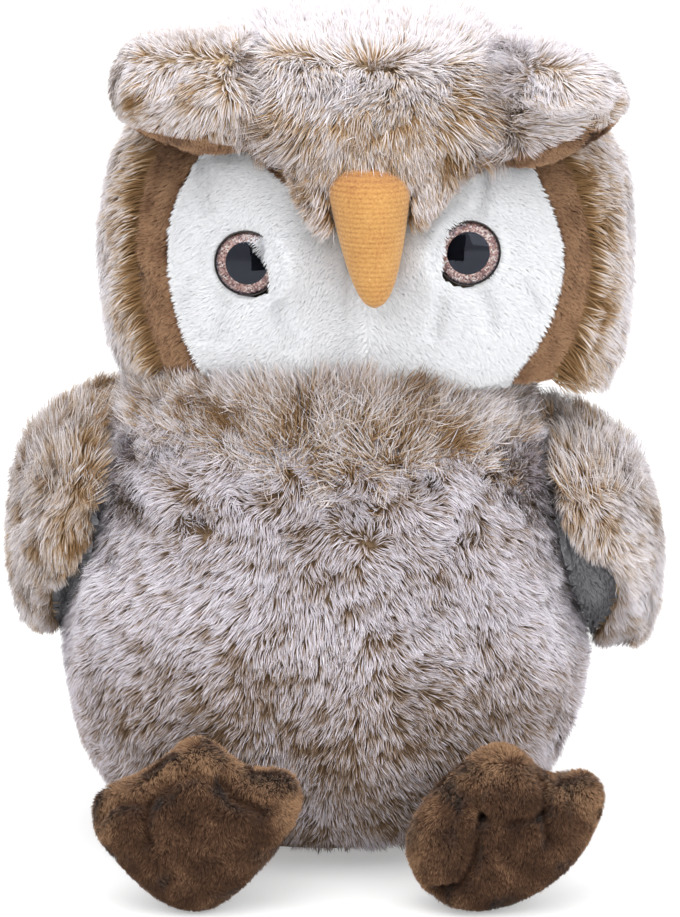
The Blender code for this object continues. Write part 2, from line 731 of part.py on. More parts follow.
def make_head(looks, dish_space, eye_cutters, grooves, head, face):
    """The head's cover, its face panels, borders and brow, and the filling behind them."""
    inner = head_form("head_inner_face", cover_thickness, inner_sides, levels=0)
    core = head_form("head_core", cover_thickness + seam_gap, inner_sides, levels=0)
    brow_bulge = brow_form("brow_bulge")
    beak = beak_form("beak_form", 0)
    beak_clear = beak_form("beak_clear", -seam_gap)
    beak_inner = beak_form("beak_inner_face", knit_thickness, levels=0)
    beak_core = beak_form("beak_core", knit_thickness + seam_gap, levels=0)
    face_clear = head_form("face_clear", face_inset - seam_gap, form_sides)
    front = -head_depth
    brow_outline = head_outline(brow_outline_shares)
    brow = prism("brow_region", brow_outline, front, brow_reach)
    brow_clear = prism("brow_clear", grown_outline(brow_outline, seam_gap), front, brow_reach + seam_gap)
    regions = [brow_clear]
    hollows = []
    for side in ("left", "right"):
        outline = head_outline(face_outline_shares[side])
        panel = prism("face_region_" + side, outline, front, -face_reach)
        panel_clear = prism("face_clear_" + side, grown_outline(outline, seam_gap), front, -face_reach)
        border_line = head_outline(border_outline_shares[side])
        border = prism("border_region_" + side, border_line, front, -face_reach)
        border_clear = prism(
            "border_clear_" + side, grown_outline(border_line, seam_gap), front, -face_reach + seam_gap
        )
        pocket, bore, washer_seat, washer_space = eye_cutters[side]
        hollows += [bore, washer_seat]
        earlier = [region for region in regions if region.name.startswith("face_clear")]
        finish("face_panel_" + side, face, looks["white_plush"], keep=[panel],
               cut=[inner, brow_clear, *earlier, dish_space, *grooves, pocket, bore, washer_space])
        finish("face_border_" + side, face, looks["brown_plush"], keep=[border],
               cut=[inner, brow_clear, panel_clear, dish_space, *grooves])
        regions += [panel_clear, border_clear]
    finish("head_fur_cover", head, looks["long_fur"], cut=[inner, *regions, dish_space, *grooves])
    finish("brow_fur", brow_bulge, looks["long_fur"], keep=[brow], cut=[inner, beak_clear, *grooves])
    finish("head_stuffing", core, looks["fibre_fill"], cut=[dish_space, *grooves, *hollows])
    finish("beak_cover", beak, looks["orange_knit"], cut=[beak_inner, face_clear])
    finish("beak_stuffing", beak_core, looks["fibre_fill"], cut=[face_clear])


def make_wing(side, looks, body_clear, dish_space):
    """A wing of fur over plush lining, on a roll at the shoulder. Returns the groove in the body."""
    sign = sides[side]
    hinge_side = wing_hinge_side_shares[side] * body_width / 2
    hinge = Vector((sign * hinge_side, wing_hinge_back, wing_hinge_height[side]))
    flare = Matrix.Rotation(-sign * wing_flare[side], 3, "Y") @ Matrix.Rotation(-sign * wing_yaw, 3, "Z")
    inner_x = hinge.x + sign * wing_outset
    outer_x = inner_x + sign * wing_spread
    low = (min(inner_x, outer_x), wing_hinge_back - wing_depth / 2, wing_bottom[side])
    high = (max(inner_x, outer_x), wing_hinge_back + wing_depth / 2, wing_bottom[side] + wing_length)
    turn = Matrix(((sign, 0, 0), (0, 1, 0), (0, 0, 1)))
    form = soft_form("wing_form_" + side, section(limb_sides), wing_ring_shares, low, high, turn)
    for vertex in form.data.vertices:
        vertex.co = hinge + flare @ (vertex.co - hinge)
    pivot = hinge + flare @ Vector((sign * wing_lining_side, -wing_hinge_back, wing_lining_height - hinge.z))
    lean = flare @ Matrix.Rotation(-sign * wing_lining_lean, 3, "Y")
    reach = body_width
    slabs = []
    for name, clearance in (("wing_inside_", 0), ("wing_outside_", seam_gap)):
        near = -sign * reach
        far = sign * clearance
        corner_low = pivot + Vector((min(near, far), -reach, -reach))
        corner_high = pivot + Vector((max(near, far), reach, 0))
        corner_high.z = wing_hinge_height[side] - wing_lining_drop + clearance
        slabs.append(box(name + side, corner_low, corner_high, lean, pivot))
    half = Vector((0, wing_roll_length / 2, 0))
    end_gap = Vector((0, seam_gap, 0))
    roll = rod("wing_roll_" + side, hinge - half, hinge + half, wing_roll_radius)
    groove = rod("wing_groove_" + side, hinge - half - end_gap, hinge + half + end_gap,
                 wing_roll_radius + seam_gap)
    fur = finish("wing_fur_" + side, form, looks["long_fur"], cut=[body_clear, dish_space, slabs[1]],
                 late=[roll])
    lining = finish("wing_lining_" + side, form, looks["grey_plush"], keep=[slabs[0]],
                    cut=[body_clear, groove])
    put_origin(fur, hinge)
    put_origin(lining, hinge)
    return groove


def foot_form(name, side, inset, levels=1):
    centre = foot_side[side]
    half = foot_width[side] / 2
    low = (centre - half + inset, -foot_forward - foot_thickness / 2 + inset, inset - floor_flat)
    high = (centre + half - inset, -foot_forward + foot_thickness / 2 - inset, foot_height[side] - inset)
    turn = Matrix(((1, 0, 0), (0, 0, 1), (0, 1, 0)))
    return soft_form(name, foot_outline_shares[side], foot_ring_shares, low, high, turn, levels)


def make_foot(side, looks, floor):
    """A foot of two plush halves over filling, on an ankle ball. Returns the ball's seat in the body."""
    centre = Vector((foot_side[side], -ankle_forward[side], ankle_height))
    form = foot_form("foot_form_" + side, side, 0)
    inner = foot_form("foot_inner_face_" + side, side, foot_cloth, levels=0)
    core = foot_form("foot_core_" + side, side, foot_cloth + seam_gap, levels=0)
    ankle = ball("ankle_ball_" + side, centre, ankle_radius)
    seat = ball("ankle_seat_" + side, centre, ankle_radius + seam_gap)
    leg = rod("leg_" + side, centre, (centre.x, -foot_forward, centre.z), leg_radius)
    reach = body_width
    front_half = box("sole_region_" + side, (-reach, -reach, -reach), (reach, -foot_forward, reach))
    front_clear = box("sole_clear_" + side, (-reach, -reach, -reach), (reach, seam_gap - foot_forward, reach))
    upper = finish("foot_upper_" + side, form, looks["brown_plush"], add=[ankle, leg],
                   cut=[inner, front_clear, floor])
    sole = finish("foot_sole_" + side, form, looks["brown_plush"], keep=[front_half], cut=[inner, floor])
    stuffing = finish("foot_stuffing_" + side, core, looks["fibre_fill"])
    for piece in (upper, sole, stuffing):
        put_origin(piece, centre)
    return seat


def make_looks():
    return {
        "long_fur": material("long pile fur", "#B9A78F", 0.95),
        "brown_plush": material("brown short plush", "#6B4A33", 0.92),
        "white_plush": material("white short plush", "#E8E7E4", 0.90),
        "grey_plush": material("grey short plush", "#7B7B7B", 0.92),
        "orange_knit": material("orange rib knit", "#E3A552", 0.85),
        "fibre_fill": material("polyester fibre fill", "#F2F1EC", 0.95),
        "cotton_bag": material("cotton pellet bag", "#D9D2C3", 0.90),
        "dark_rim": material("dark moulded rim", "#3A2E2A", 0.30),
        "glitter": material("copper glitter foil", "#B5806B", 0.35, 0.8),
        "black_gloss": material("black moulded acrylic", "#0B0C10", 0.06),
        "clear_dome": material("clear moulded acrylic", "#F4F6F8", 0.03),
        "nylon": material("white nylon", "#E6E2D8", 0.45),
    }


def main():
    global parts, cutters
    clear_scene()
    parts = new_collection("plush_owl")
    cutters = new_collection("cutters")
    looks = make_looks()
    reach = body_width
    floor = box("floor", (-reach, -reach, -overrun), (reach, reach, 0))
    space_above, space_below = dish_cutters()
    body = body_form("body_form", 0, form_sides)
    body_clear = body_form("body_clear", -seam_gap, form_sides)
    head = head_form("head_form", 0, form_sides)
    head_clear = head_form("head_clear", -seam_gap, form_sides)
    face = head_form("face_form", face_inset, form_sides)
    limbs = []
    eye_cutters = {}
    grooves = []
    for side in sides:
        limbs.append(make_foot(side, looks, floor))
        limbs.append(make_wing(side, looks, body_clear, space_above))
        eye_cutters[side] = make_eye(side, eye_frame(side, face), looks)
        grooves.append(make_tuft(side, looks, head, head_clear))
    make_body(looks, body, space_above, floor, limbs)
    make_head(looks, space_below, eye_cutters, grooves, head, face)


main()
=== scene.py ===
"""Sitting plush owl: frosted long fur, short plush face and feet, a knitted beak and glitter eyes."""

import math

import bmesh
import bpy
import numpy as np
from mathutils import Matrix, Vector, kdtree
from mathutils.bvhtree import BVHTree


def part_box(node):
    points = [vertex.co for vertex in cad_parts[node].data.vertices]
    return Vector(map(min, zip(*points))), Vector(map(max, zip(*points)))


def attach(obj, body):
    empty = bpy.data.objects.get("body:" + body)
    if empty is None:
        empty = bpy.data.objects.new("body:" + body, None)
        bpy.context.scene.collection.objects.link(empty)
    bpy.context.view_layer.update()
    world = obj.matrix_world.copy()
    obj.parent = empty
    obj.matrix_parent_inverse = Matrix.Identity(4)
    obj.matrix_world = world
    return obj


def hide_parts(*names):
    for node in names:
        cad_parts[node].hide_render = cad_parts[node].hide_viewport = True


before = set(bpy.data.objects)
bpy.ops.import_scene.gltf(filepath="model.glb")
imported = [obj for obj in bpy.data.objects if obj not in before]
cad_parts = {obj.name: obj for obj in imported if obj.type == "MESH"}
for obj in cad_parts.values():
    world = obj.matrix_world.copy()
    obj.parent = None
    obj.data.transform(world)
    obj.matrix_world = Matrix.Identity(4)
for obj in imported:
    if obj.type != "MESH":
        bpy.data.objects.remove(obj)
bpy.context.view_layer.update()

HEAD_CENTRE = np.array([0.0112, 0.0, 0.177])
BODY_CENTRE = np.array([0.0, 0.0, 0.070])
SEAM_X = 0.0015
FACE_SEAM_X = 0.0073
BODY_BACK_Y = 0.012
WAIST_Z = 0.075
LEAST_Z = 0.0004


# ---------------------------------------------------------------- small helpers


def unit(v):
    return v / np.maximum(np.linalg.norm(v, axis=-1, keepdims=True), 1e-9)


def ease(a, b, x):
    """0 before a, 1 after b, and smooth between them."""
    t = np.clip((x - a) / (b - a), 0.0, 1.0)
    return t * t * (3.0 - 2.0 * t)


def drift(points, wavelength, seed, waves=14):
    """A smooth random field, about -1 to 1, that changes over that wavelength."""
    rng = np.random.default_rng(seed)
    ways = unit(rng.normal(size=(waves, 3))) * rng.uniform(0.6, 1.5, (waves, 1))
    phase = rng.uniform(0.0, 2.0 * math.pi, waves)
    return np.sin(points @ (ways.T * 2.0 * math.pi / wavelength) + phase).sum(1) * math.sqrt(2.0 / waves) * 0.7


def drift3(points, wavelength, seed):
    return np.stack([drift(points, wavelength, seed + i) for i in range(3)], 1)


def lin(text):
    """An sRGB hex colour as linear RGBA."""
    parts = [int(text[i : i + 2], 16) / 255.0 for i in (1, 3, 5)]
    return [c / 12.92 if c <= 0.04045 else ((c + 0.055) / 1.055) ** 2.4 for c in parts] + [1.0]


def placed(name, data):
    """An object in the scene for this mesh, lamp or camera."""
    thing = bpy.data.objects.new(name, data)
    bpy.context.scene.collection.objects.link(thing)
    return thing


def sewn(name, points, faces):
    """A mesh object of these lists of points and faces."""
    mesh = bpy.data.meshes.new(name)
    mesh.from_pydata(points, [], faces)
    mesh.update()
    return placed(name, mesh)


# ---------------------------------------------------------------- surfaces of the frame


def solid_of(names):
    """The points and triangles of these CAD nodes together."""
    all_points, all_faces = [], []
    start = 0
    for name in names:
        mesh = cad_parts[name].data
        mesh.calc_loop_triangles()
        points = np.empty(len(mesh.vertices) * 3, np.float32)
        mesh.vertices.foreach_get("co", points)
        faces = np.empty(len(mesh.loop_triangles) * 3, np.int32)
        mesh.loop_triangles.foreach_get("vertices", faces)
        all_points.append(points.reshape(-1, 3))
        all_faces.append(faces.reshape(-1, 3) + start)
        start += len(mesh.vertices)
    return np.concatenate(all_points).astype(float), np.concatenate(all_faces)


def tree_of(names):
    points, faces = solid_of(names)
    return BVHTree.FromPolygons(points.tolist(), faces.tolist())


def outer_faces(names, centre, least=0.3, keep=None):
    """The triangles of these CAD nodes that look away from centre, with smooth corner normals."""
    points, faces = solid_of(names)
    _, first, index = np.unique(np.round(points, 6), axis=0, return_index=True, return_inverse=True)
    points, faces = points[first], index.reshape(-1)[faces]
    corner = points[faces]
    area = np.cross(corner[:, 1] - corner[:, 0], corner[:, 2] - corner[:, 0])
    middle = corner.mean(1)
    seen = (unit(area) * unit(middle - centre)).sum(1) > least
    if keep is not None:
        seen &= keep(middle, unit(area))
    faces, area = faces[seen], area[seen]
    normals = np.zeros_like(points)
    for i in range(3):
        np.add.at(normals, faces[:, i], area)
    return points, faces, unit(normals)


def smooth_normals(points, faces):
    corner = points[faces]
    area = np.cross(corner[:, 1] - corner[:, 0], corner[:, 2] - corner[:, 0])
    normals = np.zeros_like(points)
    for i in range(3):
        np.add.at(normals, faces[:, i], area)
    return unit(normals)


def scatter(surface, count, rng):
    """count points spread over the triangles, with their smooth normals."""
    points, faces, normals = surface
    corner = points[faces]
    area = np.linalg.norm(np.cross(corner[:, 1] - corner[:, 0], corner[:, 2] - corner[:, 0]), axis=1)
    total = np.cumsum(area)
    pick = np.searchsorted(total, (np.arange(count) + rng.random(count)) * total[-1] / count)
    pick = np.minimum(pick, len(faces) - 1)
    a, b = rng.random(count), rng.random(count)
    flip = a + b > 1.0
    a[flip], b[flip] = 1.0 - a[flip], 1.0 - b[flip]
    share = np.stack([1.0 - a - b, a, b], 1)[..., None]
    return (corner[pick] * share).sum(1), unit((normals[faces[pick]] * share).sum(1))


def scan(names, axis, way, step):
    """How deep these CAD nodes lie on a grid, seen along that axis. A miss is nan."""
    tree = tree_of(names)
    points, _ = solid_of(names)
    low, high = points.min(0), points.max(0)
    others = [i for i in range(3) if i != axis]
    grid = [np.arange(low[i] - step, high[i] + 2 * step, step) for i in others]
    depth = np.full((len(grid[0]), len(grid[1])), np.nan)
    ray = Vector([way if i == axis else 0.0 for i in range(3)])
    origin = [0.0, 0.0, 0.0]
    origin[axis] = (low[axis] - 0.05) if way > 0 else (high[axis] + 0.05)
    for i, a in enumerate(grid[0]):
        for j, b in enumerate(grid[1]):
            origin[others[0]], origin[others[1]] = a, b
            hit = tree.ray_cast(Vector(origin), ray)[0]
            if hit is not None:
                depth[i, j] = hit[axis]
    return grid, depth


def smoothed(depth, rounds):
    """The grid with its facets evened out. Misses stay misses."""
    inside = ~np.isnan(depth)
    for _ in range(rounds):
        total, count = np.zeros_like(depth), np.zeros_like(depth)
        padded, present = np.pad(np.where(inside, depth, 0.0), 1), np.pad(inside, 1).astype(float)
        for di, dj in ((0, 0), (0, 0), (1, 0), (-1, 0), (0, 1), (0, -1)):
            total += padded[1 + di : 1 + di + depth.shape[0], 1 + dj : 1 + dj + depth.shape[1]]
            count += present[1 + di : 1 + di + depth.shape[0], 1 + dj : 1 + dj + depth.shape[1]]
        depth = np.where(inside, total / np.maximum(count, 1.0), np.nan)
    return depth


def sheet(grid, depth, axis, way):
    """The grid as points, triangles and smooth normals that face the side it was seen from."""
    a, b = np.meshgrid(*grid, indexing="ij")
    others = [i for i in range(3) if i != axis]
    points = np.zeros(a.shape + (3,))
    points[..., others[0]], points[..., others[1]], points[..., axis] = a, b, np.nan_to_num(depth)
    good = ~np.isnan(depth)
    cell = good[:-1, :-1] & good[1:, :-1] & good[:-1, 1:] & good[1:, 1:]
    number = np.arange(depth.size).reshape(depth.shape)
    w, x, y, z = number[:-1, :-1][cell], number[1:, :-1][cell], number[1:, 1:][cell], number[:-1, 1:][cell]
    faces = np.concatenate([np.stack([w, x, y], 1), np.stack([w, y, z], 1)])
    points = points.reshape(-1, 3)
    corner = points[faces]
    area = np.cross(corner[:, 1] - corner[:, 0], corner[:, 2] - corner[:, 0])
    if area[:, axis].sum() * way > 0:
        faces, area = faces[:, ::-1], -area
    normals = np.zeros_like(points)
    for i in range(3):
        np.add.at(normals, faces[:, i], area)
    used, index = np.unique(faces, return_inverse=True)
    return points[used], index.reshape(-1, 3), unit(normals)[used]


# ---------------------------------------------------------------- strands of pile


def nearest(points, chosen):
    tree = kdtree.KDTree(len(chosen))
    for i, c in enumerate(chosen):
        tree.insert(points[c], i)
    tree.balance()
    return chosen[np.array([tree.find(p)[1] for p in points])]


def grow(roots, normals, lie, length, rng, lift, stray, locks):
    """A curved line from each root. lift is how far it stands up at its root and tip, locks are
    (spacing, pull) pairs: strands lean together towards the strand in the middle of their lock."""
    flat = unit(lie - (lie * normals).sum(1, keepdims=True) * normals)
    steps = np.array([0.0, 0.38, 0.72, 1.0])
    wobble = rng.normal(size=roots.shape) * stray
    start = unit(normals * lift[0] + flat * (1.0 - lift[0]) + 0.5 * wobble)
    end = unit(normals * lift[1] + flat * (1.0 - lift[1]) + wobble)
    t = steps[None, :, None]
    lines = roots[:, None] + length[:, None, None] * (start[:, None] * (t - t * t / 2) + end[:, None] * t * t / 2)
    for spacing, pull in locks:
        about = max(2, int(len(roots) / max(1.0, spacing)))
        chosen = rng.choice(len(roots), about, replace=False)
        mine = nearest(roots, chosen)
        strength = pull * rng.uniform(0.6, 1.0, (len(roots), 1, 1)) * t**1.3
        lines += (lines[mine] + 0.18 * (roots - roots[mine])[:, None] - lines) * strength
    return lines, steps


def trimmed(lines, tree, reach):
    """The strands shortened, where they would hang further than reach outside the solid that they cover."""
    out = np.array([tree.find_nearest(Vector(p))[3] for p in lines[:, -1]])
    long = np.linalg.norm(lines[:, -1] - lines[:, 0], axis=1)
    keep = np.clip(1.0 - 1.15 * np.maximum(out - reach, 0.0) / long, 0.4, 1.0)
    return lines[:, :1] + (lines - lines[:, :1]) * keep[:, None, None]


def ribbons(name, lines, steps, normals, wide, tone, rng):
    """One narrow ribbon along each line, in one mesh, with an own cell of the bake map for each."""
    count, many = lines.shape[:2]
    along = unit(lines[:, -1] - lines[:, 0])
    side = unit(np.cross(along, normals))
    turn = rng.uniform(-0.6, 0.6, (count, 1))
    side = unit(side * np.cos(turn) + normals * np.sin(turn))
    width = wide[:, None] * np.array([1.0, 0.95, 0.62, 0.0])[None, :many]
    half = 0.5 * width[:, :-1, None] * side[:, None]
    pairs = np.stack([lines[:, :-1] - half, lines[:, :-1] + half], 2).reshape(count, -1, 3)
    points = np.concatenate([pairs, lines[:, -1:]], 1)
    per = points.shape[1]
    points[..., 2] = np.maximum(points[..., 2], LEAST_Z)
    quad = [[2 * i, 2 * i + 1, 2 * i + 3, 2 * i + 2] for i in range(many - 2)]
    one = np.array([v for q in quad for v in q] + [per - 3, per - 2, per - 1])
    sizes = np.array([4] * (many - 2) + [3])
    corners = (np.arange(count)[:, None] * per + one).ravel()
    starts = np.concatenate([[0], np.cumsum(np.tile(sizes, count))[:-1]])
    mesh = bpy.data.meshes.new(name)
    mesh.vertices.add(count * per)
    mesh.vertices.foreach_set("co", points.astype(np.float32).ravel())
    mesh.loops.add(len(corners))
    mesh.loops.foreach_set("vertex_index", corners.astype(np.int32))
    mesh.polygons.add(len(starts))
    mesh.polygons.foreach_set("loop_start", starts.astype(np.int32))
    mesh.update(calc_edges=True)
    rise = np.concatenate([np.repeat(steps[: many - 1], 2), steps[many - 1 : many]])
    for key, values in (
        ("along", np.tile(rise, (count, 1))),
        ("tone", np.repeat(tone[:, None], per, 1)),
    ):
        layer = mesh.attributes.new(key, "FLOAT", "POINT")
        layer.data.foreach_set("value", values.astype(np.float32).ravel())
    cells = math.ceil(math.sqrt(count))
    across = np.concatenate([np.tile([0.1, 0.9], many - 1), [0.5]])
    u = (np.arange(count) % cells)[:, None] + across
    v = (np.arange(count) // cells)[:, None] + 0.06 + 0.88 * rise
    place = np.stack([u, v], 2).reshape(-1, 2)[corners] / cells
    layer = mesh.uv_layers.new(name="OFBake")
    layer.data.foreach_set("uv", place.astype(np.float32).ravel())
    upper = unit(normals - along * (along * normals).sum(1, keepdims=True))
    soft = unit(upper + 0.5 * normals + 0.10 * rng.normal(size=normals.shape))
    mesh.normals_split_custom_set_from_vertices(np.repeat(soft, per, 0).tolist())
    return placed(name, mesh)


# ---------------------------------------------------------------- materials


def put(tree, kind, inputs=(), **settings):
    """Adds a node. inputs maps a socket to a value or to the output that it's linked from."""
    made = tree.nodes.new(kind)
    for key, value in settings.items():
        setattr(made, key, value)
    for key, value in dict(inputs).items():
        if isinstance(value, bpy.types.NodeSocket):
            tree.links.new(value, made.inputs[key])
        else:
            made.inputs[key].default_value = value
    return made


def surface(name, build, **constants):
    """A material whose Principled surface takes colour, and maybe roughness and bump, from build."""
    material = bpy.data.materials.new(name)
    material.use_nodes = True
    tree = material.node_tree
    tree.nodes.clear()
    shader = put(tree, "ShaderNodeBsdfPrincipled", constants)
    for key, source in build(tree).items():
        tree.links.new(source, shader.inputs[key])
    out = put(tree, "ShaderNodeOutputMaterial")
    tree.links.new(shader.outputs[0], out.inputs["Surface"])
    return material


def ramp(tree, fac, stops):
    made = put(tree, "ShaderNodeValToRGB", {"Fac": fac})
    points = made.color_ramp.elements
    points[0].position, points[0].color = stops[0][0], lin(stops[0][1])
    points[1].position, points[1].color = stops[-1][0], lin(stops[-1][1])
    for at, colour in stops[1:-1]:
        points.new(at).color = lin(colour)
    return made.outputs["Color"]


def maths(tree, what, a, b, c=0.0):
    return put(tree, "ShaderNodeMath", {0: a, 1: b, 2: c}, operation=what).outputs[0]


def fur_finish(name, stops):
    """Polyester pile: matt, with a faint sheen. Its colour runs from root to tip, and tone moves it down the strand."""

    def build(tree):
        along = put(tree, "ShaderNodeAttribute", attribute_name="along").outputs["Fac"]
        tone = put(tree, "ShaderNodeAttribute", attribute_name="tone").outputs["Fac"]
        at = maths(tree, "MULTIPLY", maths(tree, "SUBTRACT", along, tone), 0.75)
        return {"Base Color": ramp(tree, at, stops)}

    constants = {"Roughness": 0.85, "Specular IOR Level": 0.15, "Sheen Weight": 0.15, "Sheen Roughness": 0.5}
    return surface(name, build, **constants)


# Long pile fur, dyed brown with bleached tips: misty and pale outside, and brown where its locks part. A strand is
# drawn 0.3 mm wide, several times as wide as a real one, so that it shows.
frosted_body = fur_finish("frosted_body_fur", [
    (0.06, "#6E5640"), (0.22, "#957E69"), (0.36, "#B8AAA4"), (0.52, "#D3CCD4"), (0.75, "#E3DEE6"), (1.05, "#F6F4F8")])
# The same fur with golden brown roots, which warm the brow, the tufts, the wings and the collar.
frosted_gold = fur_finish("frosted_golden_fur", [
    (0.06, "#80603E"), (0.22, "#A68662"), (0.36, "#C2AB94"), (0.52, "#DAD1CE"), (0.75, "#E6E1E6"), (1.05, "#F3F0F5")])
# Short sheared plush: one even colour, with painted shade that darkens it towards the roots in its depth, so that it
# looks soft and close.
white_pile = fur_finish("white_short_plush", [(0.0, "#DCDDE0"), (0.35, "#EEEFF1"), (0.75, "#F6F7F9")])
brown_pile = fur_finish("brown_short_plush", [(0.0, "#4B3322"), (0.36, "#7E5C44"), (0.75, "#AC8868")])
# Grey short plush in the pocket between each wing and the body: painted shade.
pocket_shade_pile = fur_finish("grey_pocket_shade_plush", [(0.0, "#6A6A6D"), (0.4, "#858588"), (0.75, "#9C9C9F")])
# The plush of the feet is darker, with golden tips, and its strands along the rims are painted lighter, as painted
# sheen.
foot_pile = fur_finish("brown_foot_plush", [(0.0, "#33231A"), (0.30, "#432E20"), (0.60, "#5E4230"), (1.0, "#A68262")])


# Noise scales are patches to the metre of the object, worked out from the size of the real pattern.
BACKING_CLOUDS = 400.0  # 2.5 mm, as the knit of a backing cloth shows between the strands
GLITTER_FLAKES = 2300.0  # 0.43 mm, drawn about twice as wide as real flakes, so that they show
RIM_CLOUDS = 900.0  # 1.1 mm
MOULDED_CLOUDS = 300.0  # 3.3 mm
KNIT_STITCHES = 1600.0  # 0.63 mm, one stitch of the rib knit
KNIT_CLOUDS = 120.0  # 8.3 mm, the uneven dye of the yarn
RIB_PITCH = 0.00132


def plain_cloth(name, dark, light):
    """Knitted polyester backing cloth: dull, and seen only as depth between the strands."""

    def build(tree):
        place = put(tree, "ShaderNodeTexCoord").outputs["Object"]
        cloud = put(tree, "ShaderNodeTexNoise", {"Vector": place, "Scale": BACKING_CLOUDS, "Detail": 3.0})
        return {"Base Color": ramp(tree, cloud.outputs[0], [(0.3, dark), (0.7, light)])}

    return surface(name, build, **{"Roughness": 0.95, "Specular IOR Level": 0.1})


brown_backing = plain_cloth("brown_fur_backing", "#7E664C", "#9A8266")
golden_backing = plain_cloth("golden_fur_backing", "#A08868", "#BCA88E")
white_backing = plain_cloth("white_plush_backing", "#DADCDF", "#ECEDEF")
plush_backing = plain_cloth("brown_plush_backing", "#513A2A", "#6B4E3A")
# Grey backing under that pocket: painted shade.
pocket_shade_backing = plain_cloth("grey_pocket_shade_backing", "#6B6B6E", "#7B7B7E")


# ---------------------------------------------------------------- pieces


def skin(name, node, surf, inset, material, body):
    """The backing cloth under the pile: the whole CAD solid with its outer side drawn in by inset."""
    points, faces, normals = surf
    outer = {tuple(np.round(points[i], 6)): normals[i] for i in np.unique(faces)}
    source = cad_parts[node].data
    place = np.array([v.co[:] for v in source.vertices])
    for i, p in enumerate(place):
        normal = outer.get(tuple(np.round(p, 6)))
        if normal is not None:
            place[i] = p - normal * inset
    piece = sewn(name, place.tolist(), [tuple(face.vertices) for face in source.polygons])
    finish(piece, material, body)
    return piece


def finish(piece, material, body):
    piece.data.materials.append(material)
    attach(piece, body)


def coat(name, surf, count, body, material, comb, seed, length, inset, wide, tone, lift=(0.75, 0.28),
         stray=0.2, locks=((90, 0.35), (9, 0.62)), extra_length=None, within=None, reach=0.0012,
         relief=None, stays=None):
    """Pile on a surface. comb gives the way that it lies, tone how brown each strand is, with painted shade and light
    in some of the coats.
    """
    rng = np.random.default_rng(seed)
    roots, normals = scatter(surf, count, rng)
    if stays is not None:
        kept = stays(roots)
        roots, normals = roots[kept], normals[kept]
        count = len(roots)
    if callable(lift):
        lift = lift(roots, normals)
    long = length * rng.uniform(0.8, 1.12, count)
    if extra_length is not None:
        long *= extra_length(roots)
    lie = comb(roots, normals)
    if relief is not None:
        roots = roots + normals * relief(roots)[:, None]
    lines, steps = grow(roots - normals * inset, normals, lie, long, rng, lift, stray, locks)
    if within is not None:
        lines = trimmed(lines, within, reach(roots) if callable(reach) else reach)
    shade = tone(roots, rng) if callable(tone) else np.full(count, tone)
    piece = ribbons(name, lines, steps, normals, wide * rng.uniform(0.7, 1.2, count), shade, rng)
    finish(piece, material, body)
    return piece


def side_of(x, middle, soft=0.012):
    return np.tanh((x - middle) / soft)


def comb_body(p, n):
    """Down and away from the seam of the chest, and unruly under the chin."""
    front = ease(0.02, -0.03, p[:, 1])
    out = side_of(p[:, 0], SEAM_X, 0.016) * 0.75 * front
    down = np.stack([out, np.zeros(len(p)), -np.ones(len(p))], 1)
    chest = (ease(0.085, 0.112, p[:, 2]) * front)[:, None]
    return (down * (1 - 0.6 * chest) + 0.40 * drift3(p, 0.035, 11) + chest * 1.3 * drift3(p, 0.020, 14)
            + 0.3 * drift3(p, 0.008, 17))


def comb_collar(p, n):
    """Up in front of the face, fanned out to both sides."""
    up = np.stack([p[:, 0] / 0.06, np.full(len(p), -0.25), np.ones(len(p))], 1)
    unruly = (1.5 - ease(0.108, 0.128, p[:, 2]))[:, None]
    return up * ease(0.104, 0.124, p[:, 2])[:, None] + unruly * drift3(p, 0.016, 15)


def comb_head(p, n):
    x = p[:, 0] - HEAD_CENTRE[0]
    rim = ease(-0.015, -0.035, p[:, 1])
    lie = np.stack([np.sign(x) * (0.35 + 0.7 * rim), 0.35 + 0.5 * rim, -np.ones(len(p))], 1)
    return combed_back(lie + 0.4 * drift3(p, 0.03, 21), p, n)


def comb_brow(p, n):
    """Down and outward over the forehead, sideways over the partings, and forward over the beak."""
    x = p[:, 0] - HEAD_CENTRE[0]
    beak = np.exp(-((x / 0.013) ** 2)) * ease(0.216, 0.206, p[:, 2])
    sideways = ease(0.018, 0.026, np.abs(x))
    lie = np.stack([x / 0.03 * 0.45 + np.sign(x) * 0.8 * sideways, -0.5 - 1.0 * beak, -1.0 + 0.5 * beak], 1)
    return combed_back(lie + 0.45 * drift3(p, 0.024, 31), p, n)


def comb_tuft(way):
    def comb(p, n):
        return combed_back(np.array(way)[None, :] + 0.5 * drift3(p, 0.022, 41), p, n)

    return comb


def comb_wing(side):
    def comb(p, n):
        return np.array([side * 0.35, -0.1, -1.0])[None, :] + 0.45 * drift3(p, 0.03, 51)

    return comb


def patchy(base, swing, size, seed, spread=0.1):
    """How brown a strand is: a regional mean, broad patches and a difference from strand to strand."""

    def tone(p, rng):
        return base + swing * drift(p, size, seed) + spread * rng.normal(size=len(p))

    return tone


# Body: one cover of long fur in five parts, with a collar, on a brown backing.
body_tree = tree_of(["body_fur_cover"])
body_surface = outer_faces(["body_fur_cover"], BODY_CENTRE, 0.25, lambda c, n: n[:, 2] > -0.93)
body_skin = skin("body_backing", "body_fur_cover", body_surface, 0.0048, brown_backing, "torso")
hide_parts("body_fur_cover", "body_stuffing", "pellet_bag")


def part_of(surf, keep):
    points, faces, normals = surf
    return points, faces[keep(points[faces].mean(1))], normals


def body_relief(p):
    """Soft lumps of the filling, and the seam down the chest that pulls the cover in."""
    front = ease(0.0, -0.03, p[:, 1])
    seam = np.exp(-(((p[:, 0] - SEAM_X) / 0.0035) ** 2)) * ease(0.055, 0.075, p[:, 2]) * front
    hip = 0.0024 * ease(-0.035, -0.060, p[:, 0]) * ease(0.015, 0.035, p[:, 2]) * ease(0.100, 0.075, p[:, 2])
    return 0.0011 * drift(p, 0.035, 62) - 0.0016 * seam + hip


